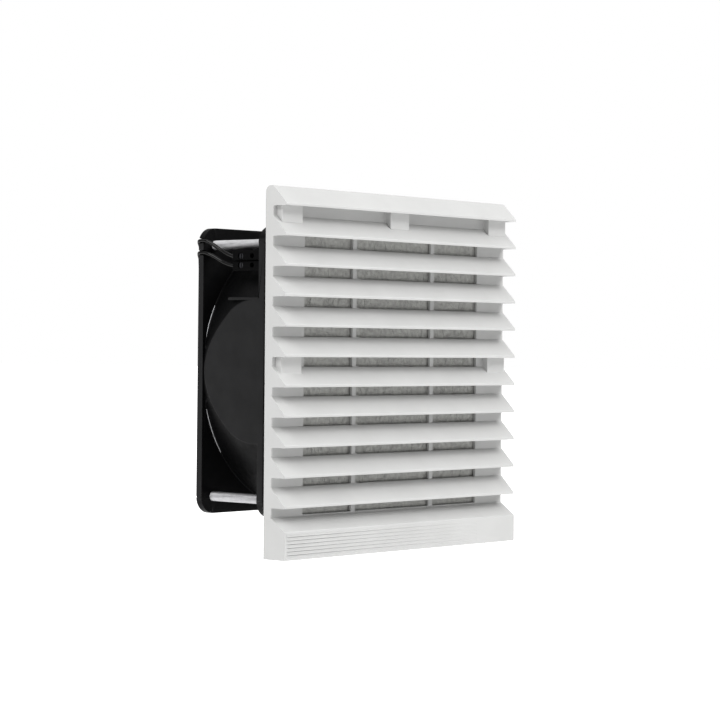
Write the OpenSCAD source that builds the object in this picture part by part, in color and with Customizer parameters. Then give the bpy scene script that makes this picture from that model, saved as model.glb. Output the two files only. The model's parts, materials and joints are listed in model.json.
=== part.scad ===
// Filter fan for a control cabinet wall: a hinged louvre cover over a filter mat, a mounting frame that
// snaps into a square panel cut-out, and an axial fan bolted to the back of the frame.
// X runs to the right seen from the front, Y into the cabinet, Z up. The panel's front face is Y = 0.

/* [Louvre cover] */
// Width and height of the square face
face_w = 148.5; // [146:0.5:152]
// Depth of the rim from the panel to the front of the plate
rim_d = 4.2; // [4.1:0.1:5]
// Thickness of the rim walls
skirt_t = 1.8; // [1.4:0.1:2.2]
// Thickness of the plate that carries the slats
plate_t = 1.2; // [1:0.1:1.3]
// Number of slats between the hood and the grip bar
slat_count = 10; // [6:1:12]
// How far the slats stand out from the plate
slat_reach = 7.1; // [5.5:0.1:8]
// Height of a slat's slope from its lip to the plate
slat_rise = 7.2; // [5:0.1:7.6]
// Height of the blunt lip of a slat
lip_h = 1.0; // [0.6:0.1:1.4]
// Height of a slat's wall measured straight down
blade_h = 1.9; // [1.5:0.1:2.4]
// Distance from the top edge down to the hood's lower edge
hood_drop = 8.0; // [7:0.1:9]
// Thickness of the triangular slat ends
tooth_t = 1.6; // [1:0.1:2.4]
// Width of the window in the plate
window_w = 111.2; // [100:0.2:114]
// Height of the window in the plate
window_h = 114; // [104:0.5:114]
// Width of the upright ribs across the window
rib_w = 2.4; // [1.6:0.1:4]
// Distance of each rib from the middle
rib_x = 25; // [15:0.5:35]
// Width of the posts between two slats
post_w = 12; // [11.4:0.1:12]
// How far the posts stand out from the plate
post_reach = 2.8; // [2.2:0.1:3.2]
// Distance from the face's side edges to the middle of the outer posts
post_inset = 8.25; // [8:0.05:10]

/* [Grip bar] */
// Height of the bar's upright front
bar_h = 11.3; // [10.6:0.1:13]
// Height of the slope above the bar's front
bar_slope_h = 5.4; // [4:0.1:6]
// How far the bar stands out from the plate
bar_reach = 7.55; // [6.5:0.05:9]
// Wall of the hollow bar
bar_t = 1.8; // [1.4:0.1:2.2]
// Number of grip grooves
groove_count = 7; // [3:1:7]
// Pitch of the grip grooves
groove_pitch = 1.44; // [1.2:0.02:1.5]
// Width of a grip groove
groove_w = 1.0; // [0.6:0.05:1.1]
// Depth of a grip groove
groove_d = 0.22; // [0.15:0.01:0.3]
// Length of the grip grooves
groove_len = 120; // [60:1:130]
// Distance from the bar's left end to the grooves
groove_margin = 1.8; // [1:0.1:6]

/* [Hinge] */
// Radius of the cover's hinge knuckles
knuckle_r = 2.45; // [2.2:0.05:2.6]
// Width of a knuckle
knuckle_w = 3.4; // [2.5:0.1:3.4]
// Radius of the frame's hinge lugs
lug_r = 1.6; // [1.4:0.05:1.7]
// Radius of a hinge pin
pin_r = 0.9; // [0.7:0.05:1]
// Running clearance round a hinge pin
pin_gap = 0.06; // [0.03:0.01:0.1]

/* [Mounting frame] */
// How far the face reaches past the panel cut-out on each side
face_overlap = 12.25; // [11.8:0.05:12.8]
// Clearance between the collar and the cut-out, each side
cutout_gap = 0.6; // [0.3:0.1:0.8]
// Thickness of the frame's flange
flange_t = 1.4; // [1:0.1:1.5]
// Wall of the collar
collar_t = 1.9; // [1.5:0.1:2.2]
// Thickness of the frame's back wall
back_t = 2.7; // [2.4:0.1:2.8]
// Depth of the raised seat for the fan
seat_d = 4.0; // [3.6:0.1:4.5]
// Distance from the fan's edge in to the side of the seat
seat_inset = 2.5; // [2:0.1:2.8]
// Wall left between the seat's flat sides and the round air opening
inlet_wall = 1.0; // [1:0.1:3]
// Wall of the seat's hollow corners
seat_t = 1.8; // [1.4:0.1:2]
// Radius of the bolt bosses in the seat's corners
boss_r = 6.2; // [5.6:0.1:6.6]
// Width of a snap tongue
tongue_w = 12; // [8:0.5:16]
// Height of a snap tongue's nose
tongue_h = 1.6; // [1:0.1:2]
// Distance of the snap tongues from the middle
tongue_x = 34; // [20:1:40]

/* [Filter] */
// Thickness of the filter mat
mat_t = 8.2; // [7.6:0.1:9]
// Clearance between the filter mat and the collar
mat_gap = 0.5; // [0.3:0.1:2]
// Thickness of the support grid
grid_t = 2.0; // [1.6:0.1:2]
// Width of a grid bar
grid_bar = 1.8; // [1.2:0.1:2.4]
// Number of bars each way
grid_count = 9; // [5:1:11]
// Width of the grid's border
grid_border = 4; // [3:0.5:5]

/* [Fan] */
// Width of the square fan
fan_w = 119; // [118.5:0.5:120]
// Depth of the fan
fan_d = 38; // [37.8:0.1:38.6]
// Corner radius of the fan's flanges
fan_corner_r = 7; // [5:0.5:8]
// Thickness of the front flange
front_flange_t = 3.4; // [2.6:0.1:4]
// Thickness of the rear flange
rear_flange_t = 3.0; // [2.6:0.1:4]
// Distance from the fan's edge to its bolt holes
bolt_inset = 7.1; // [6.8:0.1:7.4]
// Distance from the fan's flat sides in to the barrel's outside at the rear flange
barrel_inset = 0.5; // [0.2:0.1:1]
// Wall of the barrel at its throat
barrel_t = 2.3; // [2:0.1:2.8]
// How far the flared inlet's outer radius passes the flat sides
bell_over = 6.8; // [5:0.1:7.5]
// Wall of the flared inlet
bell_t = 2.0; // [1.6:0.1:2.4]
// Number of motor struts
strut_count = 4; // [3:1:5]
// Width of a strut
strut_w = 6.4; // [6:0.1:7]
// Depth of a strut
strut_d = 5; // [4.5:0.1:5.4]
// Radius of the motor's base disc
base_r = 32; // [31:0.5:34]
// Thickness of the motor's base disc
base_t = 4; // [3.6:0.1:4.2]

/* [Impeller] */
// Number of blades
blade_count = 5; // [3:1:7]
// Running gap between the blade tips and the barrel
tip_gap = 1.8; // [1.4:0.1:4]
// Outer radius of the hub
hub_r = 31.5; // [31:0.1:32]
// Wall of the hub
hub_t = 2.6; // [2:0.1:2.8]
// Clearance between the hub and the motor's base
hub_clear = 2.5; // [2:0.1:4]
// Distance from the fan's front to the hub's nose
hub_setback = 4.5; // [3:0.1:4.5]
// Thickness of a blade at mid chord
blade_t = 2.0; // [1.4:0.1:2.6]
// Pitch angle of a blade at the hub
pitch_root = 48; // [40:1:52]
// Pitch angle of a blade at the tip
pitch_tip = 30; // [22:1:34]
// Chord of a blade at the hub
chord_root = 31; // [24:0.5:32]
// Chord of a blade at the tip
chord_tip = 42; // [34:0.5:46]

/* [Motor] */
// Radius of the shaft
shaft_r = 2.5; // [2.2:0.1:2.8]
// Outer radius of the bearings
bearing_r = 6.5; // [6:0.1:6.8]
// Width of a bearing
bearing_w = 4; // [3.5:0.1:4.4]
// Outer radius of the bearing tube
tube_r = 8.5; // [8.3:0.1:9]
// Wall of the rotor cup
rotor_t = 5.4; // [4.6:0.1:6]
// Length of the stator's plate stack
stator_d = 13; // [11:0.1:13.6]
// Air gap between stator and rotor
air_gap = 0.5; // [0.3:0.05:0.8]
// Running clearance of the shaft in its bearings
shaft_gap = 0.03; // [0.02:0.01:0.05]

/* [Fasteners] */
// Radius of the bolt's shank
bolt_r = 2.0; // [1.8:0.05:2.1]
// How far the bolts stand out of their nuts
bolt_past = 1.0; // [0.5:0.1:1.2]
// Radius of the bolt's head
head_r = 3.6; // [3.2:0.1:3.8]
// Height of the bolt's head
head_h = 2.4; // [2:0.1:2.6]
// Radius of the washers
washer_r = 4.0; // [3.9:0.1:4.2]
// Thickness of the washers
washer_t = 0.8; // [0.6:0.1:1]
// Width across the flats of the nuts
nut_w = 7; // [6.6:0.1:7.2]
// Height of the nuts
nut_h = 3.2; // [2.8:0.1:3.2]
// Clearance of the bolts in their holes
bolt_gap = 0.2; // [0.15:0.05:0.3]

/* [Terminal] */
// Length of the terminal block
block_d = 15; // [14:0.5:16]
// Depth of the terminal block from its face
block_w = 5.6; // [5:0.1:5.8]
// Height of the terminal block
block_h = 8.4; // [8:0.1:8.6]
// Distance from the fan's upper edge to the middle of the terminal block
block_inset = 14.1; // [14:0.1:14.6]
// Distance between the two poles
pole_pitch = 3.8; // [3.6:0.1:4]
// Radius of the supply wire entries
entry_r = 1.1; // [0.9:0.05:1.2]
// Radius of the leads
lead_r = 0.8; // [0.6:0.05:0.8]
// Radius of the notches for the leads in the rear flange
notch_r = 1.1; // [1.05:0.05:1.2]
// Distance from the fan's side edge to the middle of a notch
notch_in = 0.8; // [0.7:0.1:0.9]
// Distance from the fan's upper edge to the ledge under the terminal bay
ledge_drop = 29; // [26:0.5:31]
// Thickness of the ledge
ledge_t = 1.2; // [1:0.1:2]
// Length of the ledge behind the front flange
ledge_d = 17; // [12:0.5:20]

/* [Hidden] */
$fn = 64;
eps = 0.01;
slip_fit = 0.03; // radial room between pieces that are glued or pressed together
assembly_gap = 0.3; // room between neighbours that are pushed together
half_w = face_w / 2;
plate_front = -rim_d;
plate_back = plate_front + plate_t;
tip_y = plate_front - slat_reach;
bar_y = plate_front - bar_reach;
bar_top = -half_w + bar_h;
bar_root = bar_top + bar_slope_h;
hood_tip = half_w - hood_drop;
groove_r = groove_d / 2 + groove_w * groove_w / (8 * groove_d); // arc of that width and depth
slat_pitch = (hood_tip - bar_root + slat_rise + lip_h) / (slat_count + 1);
slat_gap = slat_pitch - slat_rise - lip_h;
post_y = plate_front - post_reach;
middle_gap = ceil((slat_count + 1) / 2);

post_x = half_w - post_inset;
skirt_gap = 0.2; // the rim stays this far in front of the panel
press_gap = 0.02; // radial room of a pin or thread that sits tight
hinge_y = -(knuckle_r + skirt_gap);
hinge_z = half_w - knuckle_r;
lug_w = post_w - 2 * knuckle_w - 2 * assembly_gap;
lug_room = 0.25;
lug_foot = 1; // how deep a lug's foot goes into the flange
hinge_xs = [-post_x, 0, post_x];

flange_front = plate_back + skirt_gap;
flange_back = flange_front + flange_t;
knuckle_room = 0.35; // the flange stays this far below the knuckles
flange_half = hinge_z - knuckle_r - knuckle_room;
flange_corner_r = 3;
collar_half = half_w - face_overlap - cutout_gap;
collar_in = collar_half - collar_t;
mat_front = plate_back + assembly_gap;
mat_back = mat_front + mat_t;
mat_half = collar_in - mat_gap;
grid_front = mat_back + assembly_gap;
grid_back = grid_front + grid_t;
grid_half = collar_in - assembly_gap;
back_front = grid_back;
collar_d = back_front + back_t;
gasket_margin = 1;
gasket_half = flange_half - gasket_margin;
gasket_in = collar_half + tongue_h + assembly_gap;

fan_half = fan_w / 2;
fan_y = collar_d + seat_d;
fan_back = fan_y + fan_d;
seat_floor_t = 2.0; // what the bolts pass through between the nuts and the fan
seat_floor = fan_y - seat_floor_t;
seat_half = fan_half - seat_inset;
inlet_r = seat_half - inlet_wall;
bolt_x = fan_half - bolt_inset;
boss_hole_r = bolt_r + bolt_gap;
nut_play = 0.2;
cross_w = 0.9; // arms of the cross recess in a bolt's head
cross_d = 1.2;
cross_len = 4;
nut_trap_w = nut_w + nut_play;

tongue_front = 1.6;
tongue_slot = 1;
tongue_relief = 0.4;
tongue_root = back_front - tongue_relief;
nose_start = 0.7; // the nose rises over this length and stays level over the next
nose_level = 0.6;
peg_margin = 1.8;
peg_play = 0.6;
peg_w = post_w - 2 * peg_margin;
peg_h = slat_gap - 2 * peg_play;
peg_z = half_w - hood_drop - (middle_gap - 1) * slat_pitch - slat_gap / 2;
pocket_wall = 0.9;

front_flange_y = fan_y + front_flange_t;
rear_flange_y = fan_back - rear_flange_t;
side_t = 2.0;
side_in = fan_half - side_t;
bell_r = fan_half + bell_over;
bell_land = 2; // the inlet stays cylindrical this far behind the front flange
bell_drop = 1.7; // the inlet narrows by this much before the cone starts
cone_d = 16.5;
throat_d = 8.5;
bell_start = front_flange_y + bell_land;
cone_start = rear_flange_y - cone_d;
throat_y = fan_back - throat_d;
barrel_r = fan_half - barrel_inset;
throat_r = barrel_r - barrel_t;

base_front = fan_back - base_t;
strut_front = fan_back - strut_d;
strut_angle = 155;
channel_w = 4.2;
channel_d = 2.1;
channel_start = 25;
channel_end = 57.5;
lead_hole_r = 2.3;
lead_hole_at = 26;
strut_lap_in = 2; // how far a strut runs into the base and into the barrel's wall
strut_lap_out = 0.8;
notch_drops = [5.4, 10.4]; // from the fan's upper edge to each notch
cap_margin = 1.5;
cap_r = bearing_r + cap_margin;
cap_t = 1.4;

hub_front = fan_y + hub_setback;
hub_back = base_front - hub_clear;
hub_d = hub_back - hub_front;
blade_r = throat_r - tip_gap;
hub_round = 3;
blade_camber = 0.06; // height of a blade's arch as a share of its chord
blade_edge_t = 0.6;
rotor_r = hub_r - hub_t;
rotor_front = hub_front + hub_t;
rotor_plate = 1.8;
rotor_setback = 1;
rotor_back = hub_back - rotor_setback;
rotor_in = rotor_r - rotor_t;
stator_r = rotor_in - air_gap;
bush_r = 5.2;
bush_d = 2.6;
bush_end = rotor_front + rotor_plate + bush_d;
washer_spring_t = 0.8;
washer_spring_r = shaft_r + assembly_gap;
washer_spring_w = 1.3;
bearing_recess = 0.2; // a bearing sits this deep in its seat
tube_front = bush_end + washer_spring_t;
front_bearing_y = tube_front + bearing_recess;
rear_bearing_y = base_front - bearing_w - bearing_recess;
race_in_t = 1; // what shows of a bearing's races, and the depth of its shields
race_out_t = 0.9;
shield_d = 0.3;
shaft_setback = 2.2;
shaft_end = fan_back - shaft_setback;
circlip_y = rear_bearing_y + bearing_w + bearing_recess;
circlip_t = 0.8;
circlip_groove = 0.4;
circlip_w = 1.5;
circlip_mouth = 1.2;
circlip_play = 0.05;
stator_mid = (tube_front + base_front) / 2;
stator_front = stator_mid - stator_d / 2;
stator_back = stator_mid + stator_d / 2;
pole_w = 12;
slot_in = 13;
shoe_t = 2.4;
coil_over = 2.2;
coil_gap = 0.15;

block_setback = 0.4;
block_floor = 1; // what the entries and screw holes leave of the block's depth
entry_at = 4;
screw_at = 4.5;
screw_play = 0.15;
screw_sunk = 0.5;
driver_w = 0.5;
driver_d = 0.6;
score_w = 0.6; // groove between the two poles
score_d = 1.2;
block_x = -fan_half + block_setback;
block_z = fan_half - block_inset;
block_y = front_flange_y;
block_end = block_y + block_d;
entry_y = block_y + entry_at;
screw_y = block_end - screw_at;
screw_r = 1.3;
bore_end = block_x + block_w - block_floor;
pole_zs = [block_z + pole_pitch / 2, block_z - pole_pitch / 2];

// Points that the two leads follow, chosen by hand
live_route = [
    [-22.4, 46.8, 11.5], [-22.4, 49.3, 11.5], [-22.8, 50.6, 11.7], [-23.7, 51.3, 12.1], [-25.5, 51.4, 12.9],
    [-28, 51.4, 14.1], [-35.9, 51.4, 17.8], [-44.4, 51.5, 21.7], [-48.6, 52.9, 23.8], [-51.6, 53.5, 25.8],
    [-53.4, 53.5, 29.5], [-54.1, 53.5, 36], [-54.2, 53.5, 42], [-54.5, 53.5, 45], [-55.2, 53.5, 47],
    [-56.3, 53.5, 49], [-57, 53.5, 50.8], [-57.4, 53.5, 52.2], [-58, 53.4, 53.2], [-58.5, 52.9, 53.9],
    [-58.7, 52, 54.1], [-58.7, 51, 54.1], [-58.7, 49.5, 54.1], [-58.6, 48.3, 53.8], [-58, 46.6, 53],
    [-57.2, 44.4, 51.6], [-56.5, 41.4, 49.8], [-56.3, 38, 48.2], [-56.3, 35, 47.3], [-56.3, 32.9, 47.3]
];
neutral_route = [
    [-23.2, 46.8, 9.8], [-23.2, 49.3, 9.8], [-23.6, 50.6, 9.9], [-24.5, 51.3, 10.4], [-26.3, 51.4, 11.2],
    [-28.8, 51.4, 12.3], [-36.7, 51.4, 16], [-45.2, 51.5, 20], [-49.6, 52.9, 22.1], [-53.2, 53.5, 24.2],
    [-55.4, 53.5, 28.6], [-56.2, 53.5, 35], [-56.4, 53.5, 41], [-56.9, 53.5, 44.5], [-57.3, 53.5, 46.6],
    [-58, 53.4, 48.2], [-58.5, 52.9, 48.9], [-58.7, 52, 49.1], [-58.7, 51, 49.1], [-58.7, 49.5, 49.1],
    [-58.6, 48.3, 48.8], [-58.1, 46.4, 48.1], [-57.3, 43.9, 46.8], [-56.6, 40.8, 45.1], [-56.3, 37.6, 44],
    [-56.3, 35, 43.5], [-56.3, 32.9, 43.5]
];
lead_facet_count = 8;

// Lower edge of slat k, where the hood is slat 0
function slat_tip(k) = hood_tip - k * slat_pitch;
// Height at which slat k meets the plate
function slat_root(k) = k == 0 ? half_w : slat_tip(k) + lip_h + slat_rise;
// Drop of slat k for each millimetre in front of the plate
function slat_slope(k) = (slat_root(k) - slat_tip(k) - lip_h) / slat_reach;

// Extrudes an outline drawn in Y and Z from x0 to x1
module along_x(x0, x1) {
    translate([x0, 0, 0])
        rotate([90, 0, 90])
            linear_extrude(x1 - x0)
                children();
}

// Extrudes an outline drawn in X and Z from y0 to y1
module along_y(y0, y1) {
    translate([0, y1, 0])
        rotate([90, 0, 0])
            linear_extrude(y1 - y0)
                children();
}

// Revolves a profile drawn in radius and Y about the Y axis
module around_y() {
    rotate([-90, 0, 0])
        rotate_extrude()
            children();
}

// Round bar along X about the point y, z
module rod_x(r, x0, x1, y, z) {
    translate([x0, y, z])
        rotate([0, 90, 0])
            cylinder(r = r, h = x1 - x0);
}

// Round bar along Y about the point x, z
module rod_y(r, y0, y1, x = 0, z = 0) {
    translate([x, y0, z])
        rotate([-90, 0, 0])
            cylinder(r = r, h = y1 - y0);
}

// Block between two corners
module block(low, high) {
    translate(low)
        cube(high - low);
}

// Square outline with round corners
module round_square(half, r) {
    square([2 * half, 2 * (half - r)], center = true);
    square([2 * (half - r), 2 * half], center = true);
    for (sx = [-1, 1], sz = [-1, 1])
        translate([sx * (half - r), sz * (half - r)])
            circle(r = r);
}

// Puts its children at the four bolt positions
module at_bolts() {
    for (sx = [-1, 1], sz = [-1, 1])
        translate([sx * bolt_x, 0, sz * bolt_x])
            children();
}

// Section of slat k: a sloping wall with a blunt lip and a land in the plate
module slat_section(k) {
    root = slat_root(k);
    tip = slat_tip(k);
    polygon([
        [plate_back, root],
        [plate_front, root],
        [tip_y, tip + lip_h],
        [tip_y, tip],
        [tip_y + (blade_h - lip_h) / slat_slope(k), tip],
        [plate_front, root - blade_h],
        [plate_back, root - blade_h]
    ]);
}

// Closed triangular end of slat k
module tooth_section(k) {
    tip = slat_tip(k);
    polygon([
        [plate_front + eps, slat_root(k)],
        [plate_front, slat_root(k)],
        [tip_y, tip + lip_h],
        [tip_y, tip],
        [plate_front + eps, tip]
    ]);
}

// Section of a post in the gap below slat k
module post_section(k) {
    low = k == slat_count ? bar_root : slat_root(k + 1);
    polygon([
        [plate_front + eps, low],
        [plate_front, low],
        [post_y, low - post_reach * slat_slope(k + 1)],
        [post_y, slat_root(k) - blade_h - post_reach * slat_slope(k)],
        [plate_front, slat_root(k) - blade_h],
        [plate_front + eps, slat_root(k) - blade_h]
    ]);
}

// Outline of the grip bar, inset by a wall
module bar_section(wall) {
    slope_length = norm([bar_reach, bar_slope_h]);
    down = wall * slope_length / bar_reach; // the sloping wall measured straight down
    shoulder = wall * (slope_length - bar_slope_h) / bar_reach;
    back = plate_back + (wall > 0 ? eps : 0);
    polygon([
        [back, bar_root - down],
        [plate_front, bar_root - down],
        [bar_y + wall, bar_top - shoulder],
        [bar_y + wall, -half_w + wall],
        [back, -half_w + wall]
    ]);
}

// Rim and plate of the cover with the window, the ribs and the rounded top rear edge
module cover_tray() {
    difference() {
        block([-half_w, plate_front, -half_w], [half_w, -skirt_gap, half_w]);
        block([-half_w + skirt_t, plate_back, -half_w + skirt_t],
            [half_w - skirt_t, eps, half_w - skirt_t]);
        block([-window_w / 2, plate_front - eps, -window_h / 2],
            [window_w / 2, plate_back + eps, window_h / 2]);
        difference() {
            block([-half_w - eps, hinge_y, hinge_z], [half_w + eps, eps, half_w + eps]);
            rod_x(knuckle_r, -face_w, face_w, hinge_y, hinge_z);
        }
    }
    for (s = [-1, 1])
        block([s * rib_x - rib_w / 2, plate_front, -window_h / 2 - eps],
            [s * rib_x + rib_w / 2, plate_back, window_h / 2 + eps]);
}

// Hinged front of the unit: hood, slats with closed ends, posts, hollow grip bar and hinge knuckles
module louvre_cover() {
    slot_half = lug_w / 2 + assembly_gap;
    pocket_half_w = peg_w / 2 + assembly_gap;
    pocket_half_h = peg_h / 2 + assembly_gap;
    color([0.83, 0.84, 0.82])
        difference() {
            union() {
                cover_tray();
                for (k = [0:slat_count]) {
                    along_x(-half_w, half_w)
                        slat_section(k);
                    for (x = [-half_w, half_w - tooth_t])
                        along_x(x, x + tooth_t)
                            tooth_section(k);
                }
                along_x(-half_w, half_w)
                    bar_section(0);
                for (x = hinge_xs)
                    along_x(x - post_w / 2, x + post_w / 2)
                        post_section(0);
                for (s = [-1, 1])
                    along_x(s * post_x - post_w / 2, s * post_x + post_w / 2)
                        post_section(middle_gap - 1);
                for (x = hinge_xs)
                    rod_x(knuckle_r, x - post_w / 2, x + post_w / 2, hinge_y, hinge_z);
            }
            along_x(-half_w + skirt_t, half_w - skirt_t)
                bar_section(bar_t);
            for (i = [0:groove_count - 1])
                rod_x(groove_r, -half_w + groove_margin, -half_w + groove_margin + groove_len,
                    bar_y + groove_d - groove_r,
                    bar_top - bar_h / 2 + (i - (groove_count - 1) / 2) * groove_pitch);
            for (x = hinge_xs) {
                rod_x(pin_r + pin_gap, x - post_w / 2 - eps, x + post_w / 2 + eps, hinge_y, hinge_z);
                rod_x(lug_r + lug_room, x - slot_half, x + slot_half, hinge_y, hinge_z);
                block([x - slot_half, hinge_y, hinge_z - knuckle_r - eps],
                    [x + slot_half, eps, half_w + eps]);
                block([x - slot_half, plate_back, hinge_z - knuckle_r - eps],
                    [x + slot_half, hinge_y + eps, hinge_z]);
            }
            for (s = [-1, 1])
                block([s * post_x - pocket_half_w, post_y + pocket_wall, peg_z - pocket_half_h],
                    [s * post_x + pocket_half_w, plate_back + eps, peg_z + pocket_half_h]);
        }
}

// Snap tongue's nose on the upper side of the collar
module tongue_nose(x) {
    along_x(x - tongue_w / 2, x + tongue_w / 2)
        polygon([
            [tongue_front, collar_half - eps],
            [tongue_front + nose_start, collar_half + tongue_h],
            [tongue_front + nose_start + nose_level, collar_half + tongue_h],
            [tongue_root, collar_half - eps]
        ]);
}

// Slots that free a snap tongue on the upper side of the collar
module tongue_slots(x) {
    low = collar_in - eps;
    high = collar_half + eps;
    edge = tongue_w / 2 + tongue_slot;
    for (x0 = [x - edge, x + tongue_w / 2])
        block([x0, tongue_front - tongue_slot, low], [x0 + tongue_slot, tongue_root, high]);
    block([x - edge, tongue_front - tongue_slot, low], [x + edge, tongue_front, high]);
}

// Puts its children on each side of the square collar
module on_sides() {
    for (a = [0, 90, 180, 270])
        rotate([0, a, 0])
            children();
}

// Hollow in the seat's corners, with a boss left round each bolt
module seat_corners() {
    difference() {
        square(2 * (seat_half - seat_t), center = true);
        circle(r = inlet_r + seat_t);
        for (sx = [-1, 1], sz = [-1, 1])
            translate([sx * bolt_x, sz * bolt_x])
                circle(r = boss_r);
    }
}

// Frame that sits in the panel cut-out: flange, collar with snap tongues, fan seat, hinge lugs, cover pegs
module mounting_frame() {
    color([0.80, 0.81, 0.79])
        difference() {
            union() {
                along_y(flange_front, flange_back)
                    round_square(flange_half, flange_corner_r);
                along_y(flange_back - eps, collar_d)
                    round_square(collar_half, flange_corner_r);
                along_y(collar_d - eps, fan_y)
                    round_square(seat_half, flange_corner_r);
                on_sides()
                    for (s = [-1, 1])
                        tongue_nose(s * tongue_x);
                for (x = hinge_xs) {
                    rod_x(lug_r, x - lug_w / 2, x + lug_w / 2, hinge_y, hinge_z);
                    block([x - lug_w / 2, flange_front, flange_half - lug_foot],
                        [x + lug_w / 2, flange_back, hinge_z]);
                }
                for (s = [-1, 1])
                    block([s * post_x - peg_w / 2, post_y + pocket_wall + assembly_gap, peg_z - peg_h / 2],
                        [s * post_x + peg_w / 2, flange_back, peg_z + peg_h / 2]);
            }
            block([-collar_in, flange_front - eps, -collar_in], [collar_in, back_front, collar_in]);
            rod_y(inlet_r, back_front - eps, fan_y + eps);
            along_y(back_front - eps, seat_floor)
                seat_corners();
            at_bolts() {
                rod_y(boss_hole_r, back_front - eps, fan_y + eps);
                translate([0, seat_floor, 0])
                    rotate([90, 0, 0])
                        cylinder(d = nut_trap_w / cos(30), h = seat_floor - back_front + eps, $fn = 6);
            }
            on_sides()
                for (s = [-1, 1])
                    tongue_slots(s * tongue_x);
            for (x = hinge_xs)
                rod_x(pin_r + press_gap, x - lug_w / 2 - eps, x + lug_w / 2 + eps, hinge_y, hinge_z);
        }
}

// Steel pins of the cover hinge
module hinge_pins() {
    color([0.72, 0.73, 0.75])
        for (x = hinge_xs)
            rod_x(pin_r, x - post_w / 2 + assembly_gap, x + post_w / 2 - assembly_gap, hinge_y, hinge_z);
}

// Foam ring between the frame's flange and the panel
module panel_gasket() {
    color([0.16, 0.16, 0.17])
        along_y(flange_back, 0)
            difference() {
                round_square(gasket_half, flange_corner_r);
                square(2 * gasket_in, center = true);
            }
}

// Fibre mat in the frame
module filter_mat() {
    color([0.47, 0.48, 0.50])
        block([-mat_half, mat_front, -mat_half], [mat_half, mat_back, mat_half]);
}

// Square grid that carries the mat
module filter_support_grid() {
    span = 2 * (grid_half - grid_border);
    step = span / (grid_count + 1);
    color([0.78, 0.79, 0.77])
        along_y(grid_front, grid_back) {
            difference() {
                square(2 * grid_half, center = true);
                square(span, center = true);
            }
            for (i = [1:grid_count]) {
                translate([-span / 2 + i * step - grid_bar / 2, -grid_half])
                    square([grid_bar, 2 * grid_half]);
                translate([-grid_half, -span / 2 + i * step - grid_bar / 2])
                    square([2 * grid_half, grid_bar]);
            }
        }
}

// Rounded stretch of the flared inlet, where t runs from 0 at its land to 1 at the cone
function bell_point(t) = [bell_r - bell_drop * t * t, bell_start + t * (cone_start - bell_start)];

// Outer profile of the barrel: a cone that turns through a rounded stretch into a cylinder at the inlet
module barrel_outside() {
    polygon([
        [0, fan_y],
        [bell_r, fan_y],
        for (t = [0:1/4:1]) bell_point(t),
        [barrel_r, rear_flange_y],
        [barrel_r, fan_back],
        [0, fan_back]
    ]);
}

// Air passage through the barrel
module barrel_inside() {
    polygon([
        [0, fan_y - eps],
        [bell_r - bell_t, fan_y - eps],
        for (t = [0:1/2:1]) bell_point(t) - [bell_t, bell_land],
        [throat_r, throat_y],
        [throat_r, fan_back + eps],
        [0, fan_back + eps]
    ]);
}

// Puts its children along strut i, which is drawn pointing to +X
module on_strut(i) {
    rotate([0, -(strut_angle + i * 360 / strut_count), 0])
        children();
}

// Die-cast housing: square flanges, flared barrel with flat sides, struts, motor base and bearing tube
module fan_housing() {
    color([0.13, 0.13, 0.14])
        difference() {
            union() {
                difference() {
                    union() {
                        along_y(fan_y, front_flange_y)
                            round_square(fan_half, fan_corner_r);
                        along_y(rear_flange_y, fan_back)
                            round_square(fan_half, fan_corner_r);
                        intersection() {
                            around_y()
                                barrel_outside();
                            block([-fan_half, fan_y, -fan_half], [fan_half, fan_back, fan_half]);
                        }
                        block([-fan_half, front_flange_y - eps, fan_half - ledge_drop - ledge_t],
                            [side_t - side_in, front_flange_y + ledge_d, fan_half - ledge_drop]);
                    }
                    intersection() {
                        around_y()
                            barrel_inside();
                        block([-side_in, fan_y - eps, -side_in], [side_in, fan_back + eps, side_in]);
                    }
                }
                for (i = [0:strut_count - 1])
                    on_strut(i)
                        block([base_r - strut_lap_in, strut_front, -strut_w / 2],
                            [throat_r + strut_lap_out, fan_back, strut_w / 2]);
                rod_y(base_r, base_front, fan_back);
                rod_y(tube_r, tube_front, base_front + eps);
            }
            rod_y(bearing_r, tube_front - eps, fan_back - cap_t);
            rod_y(cap_r, fan_back - cap_t, fan_back + eps);
            on_strut(0) {
                block([channel_start, fan_back - channel_d, -channel_w / 2],
                    [channel_end, fan_back + eps, channel_w / 2]);
                rod_y(lead_hole_r, base_front - eps, fan_back, lead_hole_at);
            }
            for (drop = notch_drops) {
                rod_y(notch_r, rear_flange_y - eps, fan_back + eps, notch_in - fan_half, fan_half - drop);
                block([-fan_half - eps, rear_flange_y - eps, fan_half - drop - notch_r],
                    [notch_in - fan_half, fan_back + eps, fan_half - drop + notch_r]);
            }
            at_bolts()
                rod_y(boss_hole_r, fan_y - eps, fan_back + eps);
        }
}

// Chord line of a blade at share s of its span: pitch, chord and radius follow straight lines
function blade_radius(s) = hub_r - hub_t / 2 + s * (blade_r - hub_r + hub_t / 2);
function blade_pitch(s) = pitch_root + s * (pitch_tip - pitch_root);
function blade_chord(s) = chord_root + s * (chord_tip - chord_root);
// Point of a blade's skin: c runs along the chord from -0.5 to 0.5, side is 1 or -1
function blade_point(s, c, side) =
    let (
        along = c * blade_chord(s),
        bulge = 1 - 4 * c * c,
        camber = blade_camber * blade_chord(s) * bulge,
        off = camber + side * (blade_edge_t + (blade_t - blade_edge_t) * bulge) / 2,
        axial = along * sin(blade_pitch(s)) + off * cos(blade_pitch(s)),
        around = along * cos(blade_pitch(s)) - off * sin(blade_pitch(s)),
        angle = around / blade_radius(s) * 180 / PI
    )
    [blade_radius(s) * cos(angle), axial, blade_radius(s) * sin(angle)];

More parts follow.
